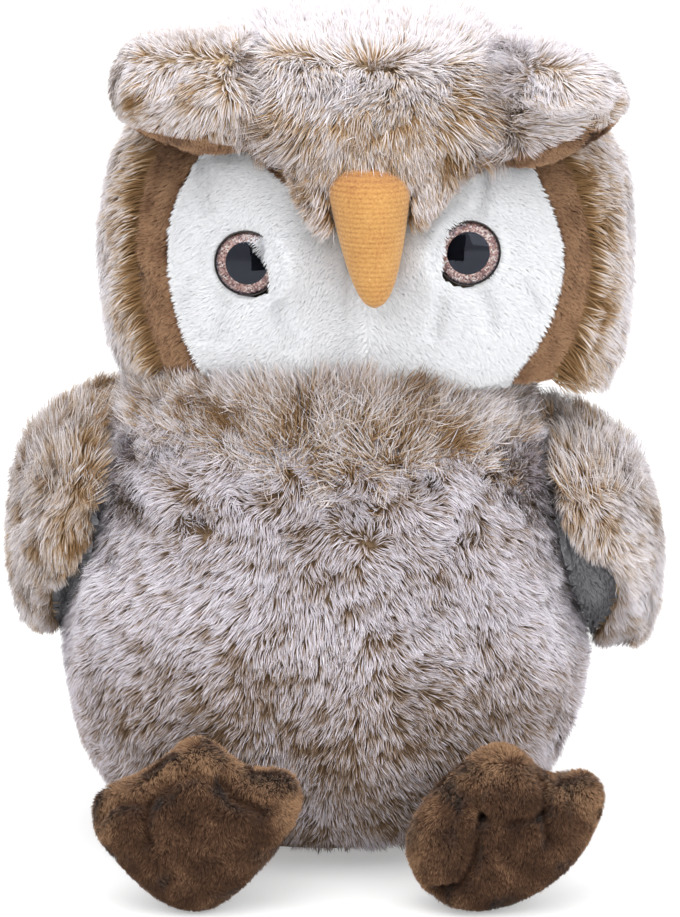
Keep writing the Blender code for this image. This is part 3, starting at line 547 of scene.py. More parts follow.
def body_brown_and_shade(p, rng):
    """Golden brown shows most on the chest, and the tips are whitest at the sides. Low on the front the strands are
    browner, as painted shade.
    """
    front = ease(0.0, -0.02, p[:, 1])
    chest = np.exp(-((p[:, 0] / 0.030) ** 2)) * ease(0.075, 0.115, p[:, 2]) * front
    sides = ease(0.045, 0.072, np.abs(p[:, 0]))
    spots = np.maximum(drift(p * [1.0, 1.0, 1.7], 0.011, 63) - 0.15, 0.0)
    # Painted shade: the strands low on the front of the body are browner.
    low = ease(0.080, 0.045, p[:, 2]) * front
    return (0.07 * drift(p, 0.030, 61) + (0.26 - 0.14 * sides) * spots + 0.02 * chest + 0.34 * low - 0.17 * sides
            + 0.21 * rng.normal(size=len(p)))


for label, keep, count in (
    ("body_fur_left_low", lambda c: (c[:, 0] < SEAM_X) & (c[:, 1] < BODY_BACK_Y) & (c[:, 2] < WAIST_Z), 36000),
    ("body_fur_left_high", lambda c: (c[:, 0] < SEAM_X) & (c[:, 1] < BODY_BACK_Y) & (c[:, 2] >= WAIST_Z), 30000),
    ("body_fur_right_low", lambda c: (c[:, 0] >= SEAM_X) & (c[:, 1] < BODY_BACK_Y) & (c[:, 2] < WAIST_Z), 36000),
    ("body_fur_right_high", lambda c: (c[:, 0] >= SEAM_X) & (c[:, 1] < BODY_BACK_Y) & (c[:, 2] >= WAIST_Z), 30000),
    ("body_fur_back", lambda c: c[:, 1] >= BODY_BACK_Y, 38000),
):
    coat(label, part_of(body_surface, keep), count, "torso", frosted_body, comb_body, len(label) + count,
         0.0074, 0.0050, 0.00032, body_brown_and_shade, within=body_tree, reach=0.0026, relief=body_relief, lift=(0.8, 0.36),
         locks=((70, 0.3), (8, 0.55)))


def collar_root(p):
    """The collar thins out downwards, so that no edge of it shows."""
    return ease(0.106, 0.127, p[:, 2] + 0.004 * drift(p, 0.018, 65))


def collar_brown(p, rng):
    """Brown in the middle under the beak, white at both shoulders."""
    middle = np.exp(-(((p[:, 0] - 0.004) / 0.034) ** 2))
    spots = np.maximum(drift(p, 0.011, 66), 0.0)
    return (-0.10 + 0.12 * middle + 0.76 * spots * (0.35 + 0.65 * middle) + 0.08 * drift(p, 0.03, 68)
            + 0.22 * rng.normal(size=len(p)))


def collar_long(p):
    """Longest in the middle, where the collar rises to a peak before the chin."""
    middle = np.exp(-(((p[:, 0] - 0.006) / 0.026) ** 2))
    return (0.45 + 0.55 * ease(0.112, 0.128, p[:, 2])) * (0.80 + 0.70 * middle)


coat("body_fur_collar", part_of(body_surface, lambda c: (c[:, 2] > 0.104) & (c[:, 1] < -0.010)), 35000, "torso",
     frosted_gold, comb_collar, 64, 0.0130, 0.0040, 0.00030, collar_brown, within=body_tree, reach=0.026,
     lift=(0.60, 0.34), stray=0.46, locks=((60, 0.3), (7, 0.5)),
     stays=lambda p: np.random.default_rng(67).random(len(p)) < collar_root(p), extra_length=collar_long)

# Head: the long fur of the cover, the brow and the two tufts.
head_tree = tree_of(["head_fur_cover"])
head_surface = outer_faces(["head_fur_cover"], HEAD_CENTRE, 0.25)
border_tree = tree_of(["face_border_left", "face_border_right"])


def clear_of_border(p):
    return np.array([border_tree.find_nearest(Vector(q))[3] for q in p]) > 0.0026


def upright_on_top(p, n):
    """The pile lies low on the slope of the forehead and stands up on the crown."""
    slope = ease(0.25, 0.5, n[:, 2])[:, None]
    top = ease(0.84, 0.95, n[:, 2])[:, None]
    return 0.66 - 0.22 * slope + 0.36 * top, 0.22 - 0.12 * slope + 0.42 * top


def combed_back(lie, p, n):
    """On the crown the pile leans back instead."""
    top = ease(0.80, 0.93, n[:, 2])[:, None]
    back = np.stack([(p[:, 0] - HEAD_CENTRE[0]) / 0.06, np.ones(len(p)), np.zeros(len(p))], 1)
    return lie * (1.0 - top) + top * (back + 0.45 * drift3(p, 0.02, 33))


head_skin = skin("head_backing", "head_fur_cover", head_surface, 0.0050, golden_backing, "head")
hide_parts("head_fur_cover", "head_stuffing")


def head_brown_and_light(p, rng):
    """Brown along the rim of the face, and almost white on the crown, where the pale fur is also painted whiter as
    painted light from above.
    """
    rim = ease(-0.02, -0.045, p[:, 1])
    # Painted light, partly the pale fur's own colour: the crown is whiter as if lit from above.
    crown = ease(0.214, 0.232, p[:, 2])
    spots = np.maximum(drift(p, 0.012, 72), 0.0)
    away = np.array([border_tree.find_nearest(Vector(q))[3] for q in p])
    beside = np.exp(-((away / 0.0075) ** 2)) * ease(0.0, -0.02, p[:, 1])
    back = ease(0.0, 0.02, p[:, 1])
    return (-0.04 + 0.07 * drift(p, 0.020, 71) + 0.42 * beside + (0.15 + 0.25 * rim - 0.08 * back) * spots
            - 0.08 * back - 0.22 * ease(0.066, 0.079, np.abs(p[:, 0] - HEAD_CENTRE[0])) - 0.30 * crown
            + 0.16 * rng.normal(size=len(p)))


def head_relief(p):
    return 0.0014 + 0.0006 * drift(p, 0.030, 73) + 0.0022 * ease(0.218, 0.232, p[:, 2])


def jowl_reach(p):
    """The fur hangs lower under the right cheek."""
    return (0.0028 + 0.007 * ease(0.060, 0.070, p[:, 0]) * ease(0.155, 0.140, p[:, 2])
            + 0.004 * ease(0.222, 0.232, p[:, 2]))


for label, keep, count in (
    ("head_fur_front", lambda c: c[:, 1] < 0.005, 34000),
    ("head_fur_back", lambda c: c[:, 1] >= 0.005, 32000),
):
    coat(label, part_of(head_surface, keep), count, "head", frosted_gold, comb_head, count, 0.0080, 0.0052,
         0.00033, head_brown_and_light, within=head_tree, reach=jowl_reach, relief=head_relief, lift=upright_on_top,
         stays=clear_of_border,
         extra_length=lambda p: 1.0 + 0.35 * ease(0.060, 0.070, p[:, 0]) * ease(0.155, 0.140, p[:, 2]))


def brow_brown_and_light(p, rng):
    """White over the top of the forehead, partly painted light from above, and browner towards the beak and in the
    partings.
    """
    # Painted light, partly the pale fur's own colour: the top of the forehead is whiter as if lit from above.
    crown = ease(0.212, 0.235, p[:, 2])
    spots = np.maximum(drift(p, 0.015, 83), 0.0)
    return (0.11 + 0.06 * drift(p, 0.022, 82) + 0.32 * spots * (1.0 - crown) - 0.33 * crown
            + 0.2 * rng.normal(size=len(p)))


def brow_reach(p):
    """The fur closes over the top of the beak and over the partings beside the brow."""
    x = p[:, 0] - HEAD_CENTRE[0]
    return (0.0014 + 0.0110 * np.exp(-((x / 0.013) ** 2))
            + 0.0060 * ease(0.018, 0.024, np.abs(x)) * ease(0.206, 0.214, p[:, 2]))


def beside_tufts(p):
    """One where the brow meets a tuft at the front, where it is drawn up to the height of the tuft."""
    near = np.minimum(np.abs(p[:, 0] + 0.0135), np.abs(p[:, 0] - 0.0415))
    return np.exp(-((near / 0.011) ** 2)) * ease(-0.030, -0.044, p[:, 1]) * ease(0.205, 0.213, p[:, 2])


def brow_long(p):
    x = p[:, 0] - HEAD_CENTRE[0]
    return (1.0 + 0.55 * np.exp(-((x / 0.013) ** 2)) * ease(0.216, 0.206, p[:, 2]) + 0.3 * ease(0.018, 0.024, np.abs(x))
            ) * (1.0 - 0.25 * ease(0.224, 0.234, p[:, 2]))


brow_tree = tree_of(["brow_fur"])
brow_surface = outer_faces(["brow_fur"], HEAD_CENTRE, 0.25, lambda c, n: (np.abs(n[:, 0]) < 0.75) | (c[:, 1] > -0.02))
brow_skin = skin("brow_backing", "brow_fur", brow_surface, 0.0042, golden_backing, "head")
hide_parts("brow_fur")
coat("brow_fur_pile", brow_surface, 34000, "head", frosted_gold, comb_brow, 81, 0.0096, 0.0050, 0.00034,
     brow_brown_and_light, within=brow_tree, extra_length=brow_long,
     reach=lambda p: brow_reach(p) + 0.014 * beside_tufts(p) + 0.006 * ease(0.222, 0.232, p[:, 2]),
     stray=0.26, relief=lambda p: 0.0120 * beside_tufts(p) + 0.0022 * ease(0.222, 0.232, p[:, 2]), lift=upright_on_top)


# The end of the brow that a tuft uncovers as it lifts: short pile, so that the fold stays closed at rest.
brow_end = outer_faces(["brow_fur"], HEAD_CENTRE, 0.0, lambda c, n: (np.abs(n[:, 0]) >= 0.75) & (c[:, 1] <= -0.02))
coat("brow_end_pile", brow_end, 7000, "head", frosted_gold, comb_brow, 86, 0.0056, 0.0006, 0.00034,
     patchy(0.12, 0.1, 0.012, 87, 0.2), within=brow_tree, reach=0.0024,
     lift=(0.5, 0.2))


def comb_forelock(p, n):
    """The tip of the brow falls forward over the top of the beak."""
    return np.stack([0.3 * (p[:, 0] - HEAD_CENTRE[0]) / 0.010, np.full(len(p), -0.9), np.full(len(p), -1.0)], 1)


coat("brow_forelock", part_of(brow_surface, lambda c: (np.abs(c[:, 0] - HEAD_CENTRE[0]) < 0.018) & (c[:, 2] > 0.2050)
                              & (c[:, 2] < 0.2150) & (c[:, 1] < -0.050)), 6000, "head", frosted_gold,
     comb_forelock, 84, 0.0128, 0.0040, 0.00032, patchy(0.28, 0.12, 0.010, 85, 0.2),
     lift=(0.64, 0.10), stray=0.24, locks=((40, 0.4), (8, 0.55)),
     extra_length=lambda p: 1.0 - 0.35 * ease(0.006, 0.016, np.abs(p[:, 0] - HEAD_CENTRE[0])))


def parting_near(p):
    """One where a tuft faces the brow across the parting."""
    return np.exp(-((np.minimum(np.abs(p[:, 0] + 0.0170), np.abs(p[:, 0] - 0.0455)) / 0.0045) ** 2))


def upright_in_parting(p, n):
    """The pile of the tuft stands straight out into the parting, and lies flatter on top."""
    root, tip = upright_on_top(p, n)
    upright = parting_near(p)[:, None] * ease(0.75, 0.35, n[:, 2])[:, None]
    return root + 0.26 * upright, tip + 0.5 * upright


def tuft_brown_and_light(p, rng):
    """White on top, with golden brown patches along the front; the strands in the parting beside the brow are painted
    lighter, as painted light that offsets the shade of the parting.
    """
    top = ease(0.220, 0.234, p[:, 2])
    parting = np.exp(-((np.minimum(np.abs(p[:, 0] + 0.0155), np.abs(p[:, 0] - 0.0435)) / 0.006) ** 2))
    spots = np.maximum(drift(p, 0.014, 94), 0.0)
    # Painted light: the strands in the parting are lighter to offset the parting's shade.
    return (-0.04 + 0.06 * drift(p, 0.020, 93) + (0.34 - 0.2 * top) * spots - 0.12 * parting - 0.24 * top
            + 0.18 * ease(0.01, -0.01, p[:, 0]) + 0.18 * rng.normal(size=len(p)))


def tuft_reach(p):
    """The fur closes over the parting beside the brow."""
    near = np.minimum(np.abs(p[:, 0] + 0.0155), np.abs(p[:, 0] - 0.0435))
    return 0.0018 + 0.008 * ease(0.009, 0.004, near)


for side, way, centre in (
    ("left", (-0.5, -0.3, -0.8), (-0.030, -0.030, 0.207)),
    ("right", (0.9, -0.1, -0.35), (0.058, -0.030, 0.207)),
):
    cover = f"tuft_fur_{side}"
    surf = outer_faces([cover], np.array(centre), 0.15, lambda c, n: n[:, 2] > -0.75)
    back = skin(f"tuft_backing_{side}", cover, surf, 0.0038, golden_backing, f"tuft_{side}")
    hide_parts(cover)
    coat(f"tuft_pile_{side}", surf, 21000, f"tuft_{side}", frosted_gold, comb_tuft(way),
         91 if side == "left" else 92, 0.0088, 0.0044, 0.00034, tuft_brown_and_light, within=tree_of([cover]), reach=tuft_reach,
         lift=upright_in_parting,
         extra_length=lambda p: (1.0 + 0.5 * parting_near(p)) * (1.0 - 0.4 * ease(0.225, 0.235, p[:, 2])))
    lining = f"tuft_lining_{side}"
    surf = outer_faces([lining], np.array(centre) + [0, 0, 0.012], 0.1)
    back = skin(f"tuft_lining_backing_{side}", lining, surf, 0.0012, plush_backing, f"tuft_{side}")
    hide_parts(lining)
    coat(f"tuft_lining_pile_{side}", surf, 6000, f"tuft_{side}", brown_pile, comb_tuft(way),
         95, 0.0022, 0.0014, 0.00030, patchy(0.0, 0.1, 0.01, 96), locks=((12, 0.4),))


# Wings: fur outside, and a padded lining of short plush that rests against the body, drawn grey beside the body as
# painted shade of the pocket there.
def wing_brown(p, rng):
    """Golden brown on the near side, and whitest along the outer edge."""
    outer = ease(0.068, 0.090, np.abs(p[:, 0]))
    low = ease(0.075, 0.060, p[:, 2])
    spots = np.maximum(drift(p, 0.012, 104), 0.0)
    return (0.14 - 0.24 * outer + 0.10 * ease(0.0, -0.02, p[:, 0]) + 0.08 * drift(p, 0.024, 103) + 0.34 * spots
            + 0.12 * rng.normal(size=len(p)) - 0.08 * low + 0.07 * rng.normal(size=len(p)))


def fading_shoulder(p):
    """The shoulder's pile thins out downwards, so that no edge of it shows."""
    return np.random.default_rng(110).random(len(p)) < ease(0.099, 0.116, p[:, 2] + 0.004 * drift(p, 0.015, 109))


def comb_shoulder(side):
    """The fur of the shoulder stands up towards the cheek and closes over the seam with the body."""
    def comb(p, n):
        return np.array([-0.5 * side, 0.35, 0.8])[None, :] + 0.25 * drift3(p, 0.016, 108)
    return comb


def largest(points, faces):
    """The biggest connected surface of a mesh, without the hollows inside it."""
    parent = np.arange(len(points))
    while True:
        least = parent[faces].min(1)
        before = parent.copy()
        for i in range(3):
            np.minimum.at(parent, faces[:, i], least)
        parent = parent[parent]
        if (parent == before).all():
            break
    names, counts = np.unique(parent[faces[:, 0]], return_counts=True)
    faces = faces[parent[faces[:, 0]] == names[counts.argmax()]]
    used, index = np.unique(faces, return_inverse=True)
    return points[used], index.reshape(-1, 3)


def evened(points, faces, voxel, rounds):
    """The closed mesh rebuilt with even faces and its edges rounded: points and triangles."""
    solid = sewn("even", points.tolist(), faces.tolist())
    weave = solid.modifiers.new("weave", "REMESH")
    weave.mode, weave.voxel_size = "VOXEL", voxel
    even = solid.modifiers.new("even", "SMOOTH")
    even.factor, even.iterations = 0.5, rounds
    graph = bpy.context.evaluated_depsgraph_get()
    made = bpy.data.meshes.new_from_object(solid.evaluated_get(graph))
    made.calc_loop_triangles()
    points = np.array([v.co[:] for v in made.vertices])
    triangles = np.array([t.vertices[:] for t in made.loop_triangles])
    bpy.data.objects.remove(solid)
    return largest(points, triangles)


def between(grid, outer, inner, axis):
    """A closed mesh between two sheets that were scanned over the same grid along that axis."""
    a, b = np.meshgrid(*grid, indexing="ij")
    good = ~(np.isnan(outer) | np.isnan(inner))
    cell = good[:-1, :-1] & good[1:, :-1] & good[:-1, 1:] & good[1:, 1:]
    number = np.arange(good.size).reshape(good.shape)
    quads = np.stack([number[:-1, :-1][cell], number[1:, :-1][cell], number[1:, 1:][cell], number[:-1, 1:][cell]], 1)
    edges = np.concatenate([quads[:, [0, 1]], quads[:, [1, 2]], quads[:, [2, 3]], quads[:, [3, 0]]])
    key = np.sort(edges, 1) @ [good.size, 1]
    _, index, counts = np.unique(key, return_inverse=True, return_counts=True)
    rim = edges[counts[index.reshape(-1)] == 1]
    walls = np.stack([rim[:, 1], rim[:, 0], rim[:, 0] + good.size, rim[:, 1] + good.size], 1)
    points = np.zeros((2,) + a.shape + (3,))
    points[..., [i for i in range(3) if i != axis][0]], points[..., [i for i in range(3) if i != axis][1]] = a, b
    points[..., axis] = np.nan_to_num(np.stack([outer, inner]))
    points = points.reshape(-1, 3)
    return points, np.concatenate([quads, quads[:, ::-1] + good.size, walls])


def pocket_width(z, side):
    """How wide the painted shade of the pocket reaches on the lining beside the body, at each height."""
    if side == "right":
        return 0.0125 * np.exp(-(((z - 0.080) / 0.014) ** 2))
    return 0.0022 + 0.0048 * np.exp(-(((z - 0.080) / 0.008) ** 2))


for side, sign in (("left", -1.0), ("right", 1.0)):
    cover, lining = f"wing_fur_{side}", f"wing_lining_{side}"
    grid, outer = scan([cover, lining], 0, -sign, 0.0015)
    _, inner = scan([cover, lining], 0, sign, 0.0015)
    y, z = np.meshgrid(*grid, indexing="ij")
    for i, j in zip(*np.nonzero(~np.isnan(inner))):
        hit = body_tree.ray_cast(Vector((sign * 0.2, y[i, j], z[i, j])), Vector((-sign, 0.0, 0.0)))[0]
        if hit is not None and z[i, j] < 0.120:
            gap = (inner[i, j] - hit.x) * sign - 0.0016
            inner[i, j] -= sign * min(max(gap, 0.0), 0.024)
    outer, inner = smoothed(outer, 3), smoothed(inner, 3)
    points, faces = between(grid, outer, inner, 0)
    points, faces = evened(points, faces, 0.0016, 12)
    normals = smooth_normals(points, faces)
    if (normals[:, 0] * sign * (points[:, 0] * sign - np.median(points[:, 0] * sign))).sum() < 0:
        faces = faces[:, ::-1]
        normals = -normals
    near = np.array([body_tree.find_nearest(Vector(q))[3] for q in points])
    # The lining close to the body, facing it and below the shoulder, is the pocket: drawn grey as painted shade, and
    # recessed.
    inside = ease(pocket_width(points[:, 2], side) + 0.001, pocket_width(points[:, 2], side) - 0.001, near)
    inside *= ease(-0.3, -0.5, normals[:, 0] * sign) + ease(-0.25, -0.5, normals[:, 1]) > 0.3
    inside *= ease(0.112, 0.106, points[:, 2])
    points = points + np.stack([0 * inside, 0.0045 * inside * ease(0.0, -0.4, normals[:, 1]), 0 * inside], 1)
    normals = smooth_normals(points, faces)
    cloth = points - normals * (0.0040 - 0.0032 * inside)[:, None]
    piece = sewn(f"wing_backing_{side}", cloth.tolist(), faces.tolist())
    finish(piece, golden_backing, f"wing_{side}")
    piece.data.materials.append(pocket_shade_backing)
    shaded_pocket = inside[faces].mean(1) > 0.5
    for face, grey in zip(piece.data.polygons, shaded_pocket):
        face.material_index = int(grey)
    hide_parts(cover, lining)
    coat(f"wing_pile_{side}", (points, faces[~shaded_pocket], normals), 34000, f"wing_{side}", frosted_gold,
         comb_wing(sign), 101 if side == "left" else 102, 0.0084, 0.0044, 0.00033, wing_brown, lift=(0.70, 0.28))
    upper = (points[faces].mean(1)[:, 2] > 0.098) & (points[faces].mean(1)[:, 1] < 0.012)
    # The shoulder's strands are 0.12 whiter than the wing's, as painted light that offsets the head's shade on them.
    coat(f"wing_shoulder_pile_{side}", (points, faces[upper], normals), 8000, f"wing_{side}", frosted_gold,
         comb_shoulder(sign), 107, 0.0105, 0.0036, 0.00033, lambda p, rng: wing_brown(p, rng) - 0.12, lift=(0.66, 0.36),
         stray=0.26, locks=((50, 0.35), (9, 0.55)), stays=fading_shoulder)
    # Grey plush in the pocket beside the body, as painted shade.
    coat(f"wing_pocket_shade_pile_{side}", (points, faces[shaded_pocket], normals), 16000, f"wing_{side}", pocket_shade_pile,
         comb_wing(sign), 105, 0.0020, 0.0008, 0.00028, patchy(0.0, 0.08, 0.01, 106), locks=((12, 0.4),))


# Face: two panels of white short plush that close a little over the inner side of each eye.
# Each eye's middle across and up, which way the beak lies, and where the plush cuts across it, as a share of
# its radius at its middle and how much that falls off towards its top.
EYES = {"left": (-0.02140, 0.1750, 1.0, 0.62, 0.75), "right": (0.03815, 0.1780, -1.0, 0.74, 0.15)}
EYE_SHIFT = 0.0009
EYE_RADIUS = 0.009


def comb_face(p, n):
    x = p[:, 0] - HEAD_CENTRE[0]
    return np.stack([np.sign(x) * 0.8, np.zeros(len(p)), -np.ones(len(p)) * 0.6], 1) + 0.25 * drift3(p, 0.02, 111)


# The pleats of the face panels, as points across and up.
PLEATS = {
    "left": (((-0.0355, 0.1691), (-0.0373, 0.1608), (-0.0341, 0.1539)), ((-0.0265, 0.1635), (-0.0282, 0.1539)),
             ((-0.0328, 0.2023), (-0.0314, 0.1899)), ((-0.0120, 0.1640), (-0.0090, 0.1530))),
    "right": (((0.0415, 0.1663), (0.0442, 0.1580)), ((0.0523, 0.1690), (0.0564, 0.1620)),
              ((0.0307, 0.1690), (0.0285, 0.1566)), ((0.0430, 0.2030), (0.0405, 0.1910))),
}


def line_distance(x, z, line):
    """How far each point lies from a line of straight stretches, seen from the front."""
    nearest_line = np.full_like(x, 1.0)
    for (x0, z0), (x1, z1) in zip(line[:-1], line[1:]):
        dx, dz = x1 - x0, z1 - z0
        t = np.clip(((x - x0) * dx + (z - z0) * dz) / (dx * dx + dz * dz), 0.0, 1.0)
        nearest_line = np.minimum(nearest_line, np.hypot(x - x0 - t * dx, z - z0 - t * dz))
    return nearest_line


def face_swell(x, z, side):
    """How far the plush stands forward of the plain panel: a fold beside the eye, a dip round it and pleats."""
    at_x, at_z, nose = EYES[side][:3]
    dx, dz = (x - at_x) * nose, z - at_z
    away = np.hypot(dx, dz)
    wide = np.where(dx < 0.0085, 0.0050, 0.0120)
    fold = 0.0054 * np.exp(-(((dx - 0.0085) / wide) ** 2) - (dz / 0.0095) ** 2)
    dip = 0.0010 * np.exp(-(((away - 0.0105) / 0.0035) ** 2)) * ease(0.004, -0.006, dx)
    pleats = sum(0.0012 * np.exp(-((line_distance(x, z, line) / 0.0020) ** 2)) for line in PLEATS[side])
    seam = 0.0008 * np.exp(-(((x - FACE_SEAM_X) / 0.0012) ** 2))
    return fold - dip - pleats - seam


for side in ("left", "right"):
    panel, border = f"face_panel_{side}", f"face_border_{side}"
    grid, depth = scan([panel], 1, 1.0, 0.0006)
    x, z = np.meshgrid(*grid, indexing="ij")
    at_x, at_z, nose, closes, slant = EYES[side]
    dx, away = (x - at_x) * nose, np.hypot(x - at_x, z - at_z)
    depth = np.where(np.isnan(depth) & (away < 0.012), np.nanmedian(depth[away < 0.014]), depth)
    flat = np.where((away < 0.0105) & ~np.isnan(depth), np.nan, depth)
    level = np.nanmean(flat[(away < 0.0125)])
    depth = np.where(away < 0.0105, level, depth)
    depth = smoothed(depth, 12) - face_swell(x, z, side)
    cut = (closes - slant * np.maximum((z - at_z) / EYE_RADIUS + 0.1, 0.0) ** 1.3) * EYE_RADIUS
    depth[(away < EYE_RADIUS - 0.0002) & (dx < cut)] = np.nan
    for _ in range(3):
        for shift in (1, -1):
            beside = np.roll(depth, shift, 0)
            depth = np.where(np.isnan(depth) & (np.abs(x - FACE_SEAM_X) < 0.0014) & ~np.isnan(beside), beside, depth)
    surf = sheet(grid, depth, 1, 1.0)
    back = sewn(f"face_backing_{side}", (surf[0] - surf[2] * 0.0010).tolist(), surf[1].tolist())
    finish(back, white_backing, "head")
    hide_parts(panel)
    coat(f"face_pile_{side}", surf, 34000, "head", white_pile, comb_face,
         112, 0.0021, 0.0011, 0.00026, patchy(0.0, 0.04, 0.01, 113, 0.05), lift=(0.7, 0.2), stray=0.15,
         locks=((14, 0.25),))
    surf = outer_faces([border], HEAD_CENTRE, 0.4)
    back = skin(f"border_backing_{side}", border, surf, 0.0012, plush_backing, "head")
    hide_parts(border)
    coat(f"border_pile_{side}", surf, 24000, "head", brown_pile, comb_face,
         115, 0.0026, 0.0015, 0.00028, patchy(0.0, 0.14, 0.008, 116, 0.08), lift=(0.7, 0.25), stray=0.2,
         locks=((14, 0.35),))


# Eyes: a dark rim, a ring of glitter film, a black pupil and a clear dome, turned about each eye's own axis.
def glitter(tree):
    """Copper glitter film under the dome: flakes that are tilted each their own way, so that some of them flash, with
    flake colours from dark brown to near white as painted glints and shade.
    """
    place = put(tree, "ShaderNodeTexCoord").outputs["Object"]
    flakes = put(tree, "ShaderNodeTexVoronoi", {"Vector": place, "Scale": GLITTER_FLAKES})
    pick = put(tree, "ShaderNodeSeparateColor", {0: flakes.outputs["Color"]})
    # Flake colours from dark brown to near white: painted glints and shade of the tilted flakes.
    stops = [(0.0, "#5E3A38"), (0.3, "#B98476"), (0.5, "#E3B9AA"), (0.62, "#8A5A58"), (0.8, "#F3DCD2"),
             (1.0, "#FFF6F0")]
    tilt = put(tree, "ShaderNodeBump", {"Height": pick.outputs[1], "Strength": 0.5, "Distance": 0.0002})
    return {"Base Color": ramp(tree, pick.outputs[0], stops), "Normal": tilt.outputs[0]}


def speckled(dark, light, grain):
    """A colour with faint clouds in it, as moulded plastic has."""

    def build(tree):
        place = put(tree, "ShaderNodeTexCoord").outputs["Object"]
        cloud = put(tree, "ShaderNodeTexNoise", {"Vector": place, "Scale": grain, "Detail": 2.0})
        return {"Base Color": ramp(tree, cloud.outputs[0], [(0.35, dark), (0.65, light)])}

    return build


def clear_dome_finish():
    """Clear moulded plastic: only its gloss shows over the pupil and the glitter."""
    material = bpy.data.materials.new("clear_moulded_dome")
    material.use_nodes = True
    tree = material.node_tree
    tree.nodes.clear()
    gloss = put(tree, "ShaderNodeBsdfGlossy", {"Color": lin("#D6DCF2"), "Roughness": 0.03})
    open_part = put(tree, "ShaderNodeBsdfTransparent", {"Color": (1, 1, 1, 1)})
    share = put(tree, "ShaderNodeFresnel", {"IOR": 1.49}).outputs[0]
    both = put(tree, "ShaderNodeMixShader", {0: share, 1: open_part.outputs[0], 2: gloss.outputs[0]})
    put(tree, "ShaderNodeOutputMaterial", {"Surface": both.outputs[0]})
    return material


EYE_PROFILES = {
    "rim": ((0.0089, -0.0034), (0.0089, -0.0014), (0.00884, -0.0010), (0.00870, -0.00075), (0.00850, -0.00075),
            (0.00838, -0.0010), (0.00836, -0.0016)),
    "glitter_ring": ((0.00842, -0.0012), (0.0072, -0.00125), (0.0056, -0.0014)),
    "pupil": ((0.0058, -0.0018), (0.0058, -0.00125), (0.0050, -0.00105), (0.0030, -0.00085), (0.0012, -0.0008),
              (0.0, -0.0008)),
    "dome": ((0.00844, -0.0011), (0.0082, -0.00055), (0.0074, 0.0000), (0.0064, 0.00045), (0.0050, 0.00085),
             (0.0034, 0.00115), (0.0017, 0.00130), (0.0, 0.00135)),
}
# The rim is moulded plastic with a soft gloss. The pupil is black with a faint navy tint, a painted reflection of the
# blue in the dome's gloss, and nearly matt, because the dome over it shines.
eye_finish = {
    "rim": (surface("dark_moulded_rim", speckled("#1F1816", "#332825", RIM_CLOUDS), Roughness=0.35), "dark_rim"),
    "glitter_ring": (surface("copper_glitter", glitter, Metallic=0.35, Roughness=0.35), "glitter"),
    "pupil": (surface("black_moulded_pupil", speckled("#07080E", "#0B0D18", MOULDED_CLOUDS), Roughness=0.5,
                      **{"Specular IOR Level": 0.05}), "black_gloss"),
    "dome": (clear_dome_finish(), "clear_dome"),
}


def turned(name, profile, centre, across, up, out):
    """A shape turned about an axis: profile is (radius, height) pairs from the outside in."""
    turns = np.linspace(0.0, 2.0 * math.pi, 72, endpoint=False)
    fine = []
    for (r0, h0), (r1, h1) in zip(profile[:-1], profile[1:]):
        fine += [(r0 + (r1 - r0) * t, h0 + (h1 - h0) * t) for t in (0.0, 0.5)]
    fine.append(profile[-1])
    rows = [[centre + r * (math.cos(a) * across + math.sin(a) * up) + h * out for a in turns] for r, h in fine]
    points = np.array(rows).reshape(-1, 3)
    number = np.arange(len(points)).reshape(len(fine), -1)
    after = np.roll(number, -1, 1)
    faces = np.stack([number[:-1], after[:-1], after[1:], number[1:]], 2).reshape(-1, 4)
    piece = sewn(name, points.tolist(), faces.tolist())
    mesh = piece.data
    if profile[-1][0] == 0.0:
        work = bmesh.new()
        work.from_mesh(mesh)
        bmesh.ops.remove_doubles(work, verts=work.verts, dist=1e-6)
        bmesh.ops.recalc_face_normals(work, faces=work.faces)
        work.to_mesh(mesh)
        work.free()
    middle = np.array([f.normal[:] for f in mesh.polygons]).mean(0)
    if middle @ out < 0:
        mesh.flip_normals()
    mesh.shade_smooth()
    return piece


for side in ("left", "right"):
    cup, _ = solid_of([f"eye_cup_{side}"])
    spread = cup - cup.mean(0)
    out = np.linalg.eigh(spread.T @ spread)[1][:, 0]
    out = out * (-1.0 if out[1] > 0 else 1.0)
    across = unit(np.cross(np.array([0.0, 0.0, 1.0]), -out))
    up = np.cross(-out, across)
    up = up * (1.0 if up[2] > 0 else -1.0)
    low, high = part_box(f"eye_cup_{side}")
    centre = (np.array(low) + np.array(high)) / 2
    nudge = across * EYE_SHIFT * EYES[side][2] * np.sign(across[0])
    centre = centre + out * ((cup @ out).max() - centre @ out - 0.0004) + nudge
    stands_for = {"rim": f"eye_cup_{side}", "glitter_ring": f"eye_glitter_ring_{side}", "pupil": f"eye_pupil_{side}",
                  "dome": f"eye_dome_{side}"}
    for part, profile in EYE_PROFILES.items():
        piece = turned(f"eye_{part}_{side}_fine", profile, centre, across, up, out)
        finish(piece, eye_finish[part][0], "head")
        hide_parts(stands_for[part])
    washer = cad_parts[f"eye_washer_{side}"]
    washer.data.materials.clear()
    nylon = surface("white_nylon_washer", speckled("#DDDDD8", "#EDEDE8", MOULDED_CLOUDS), Roughness=0.5)
    washer.data.materials.append(nylon)


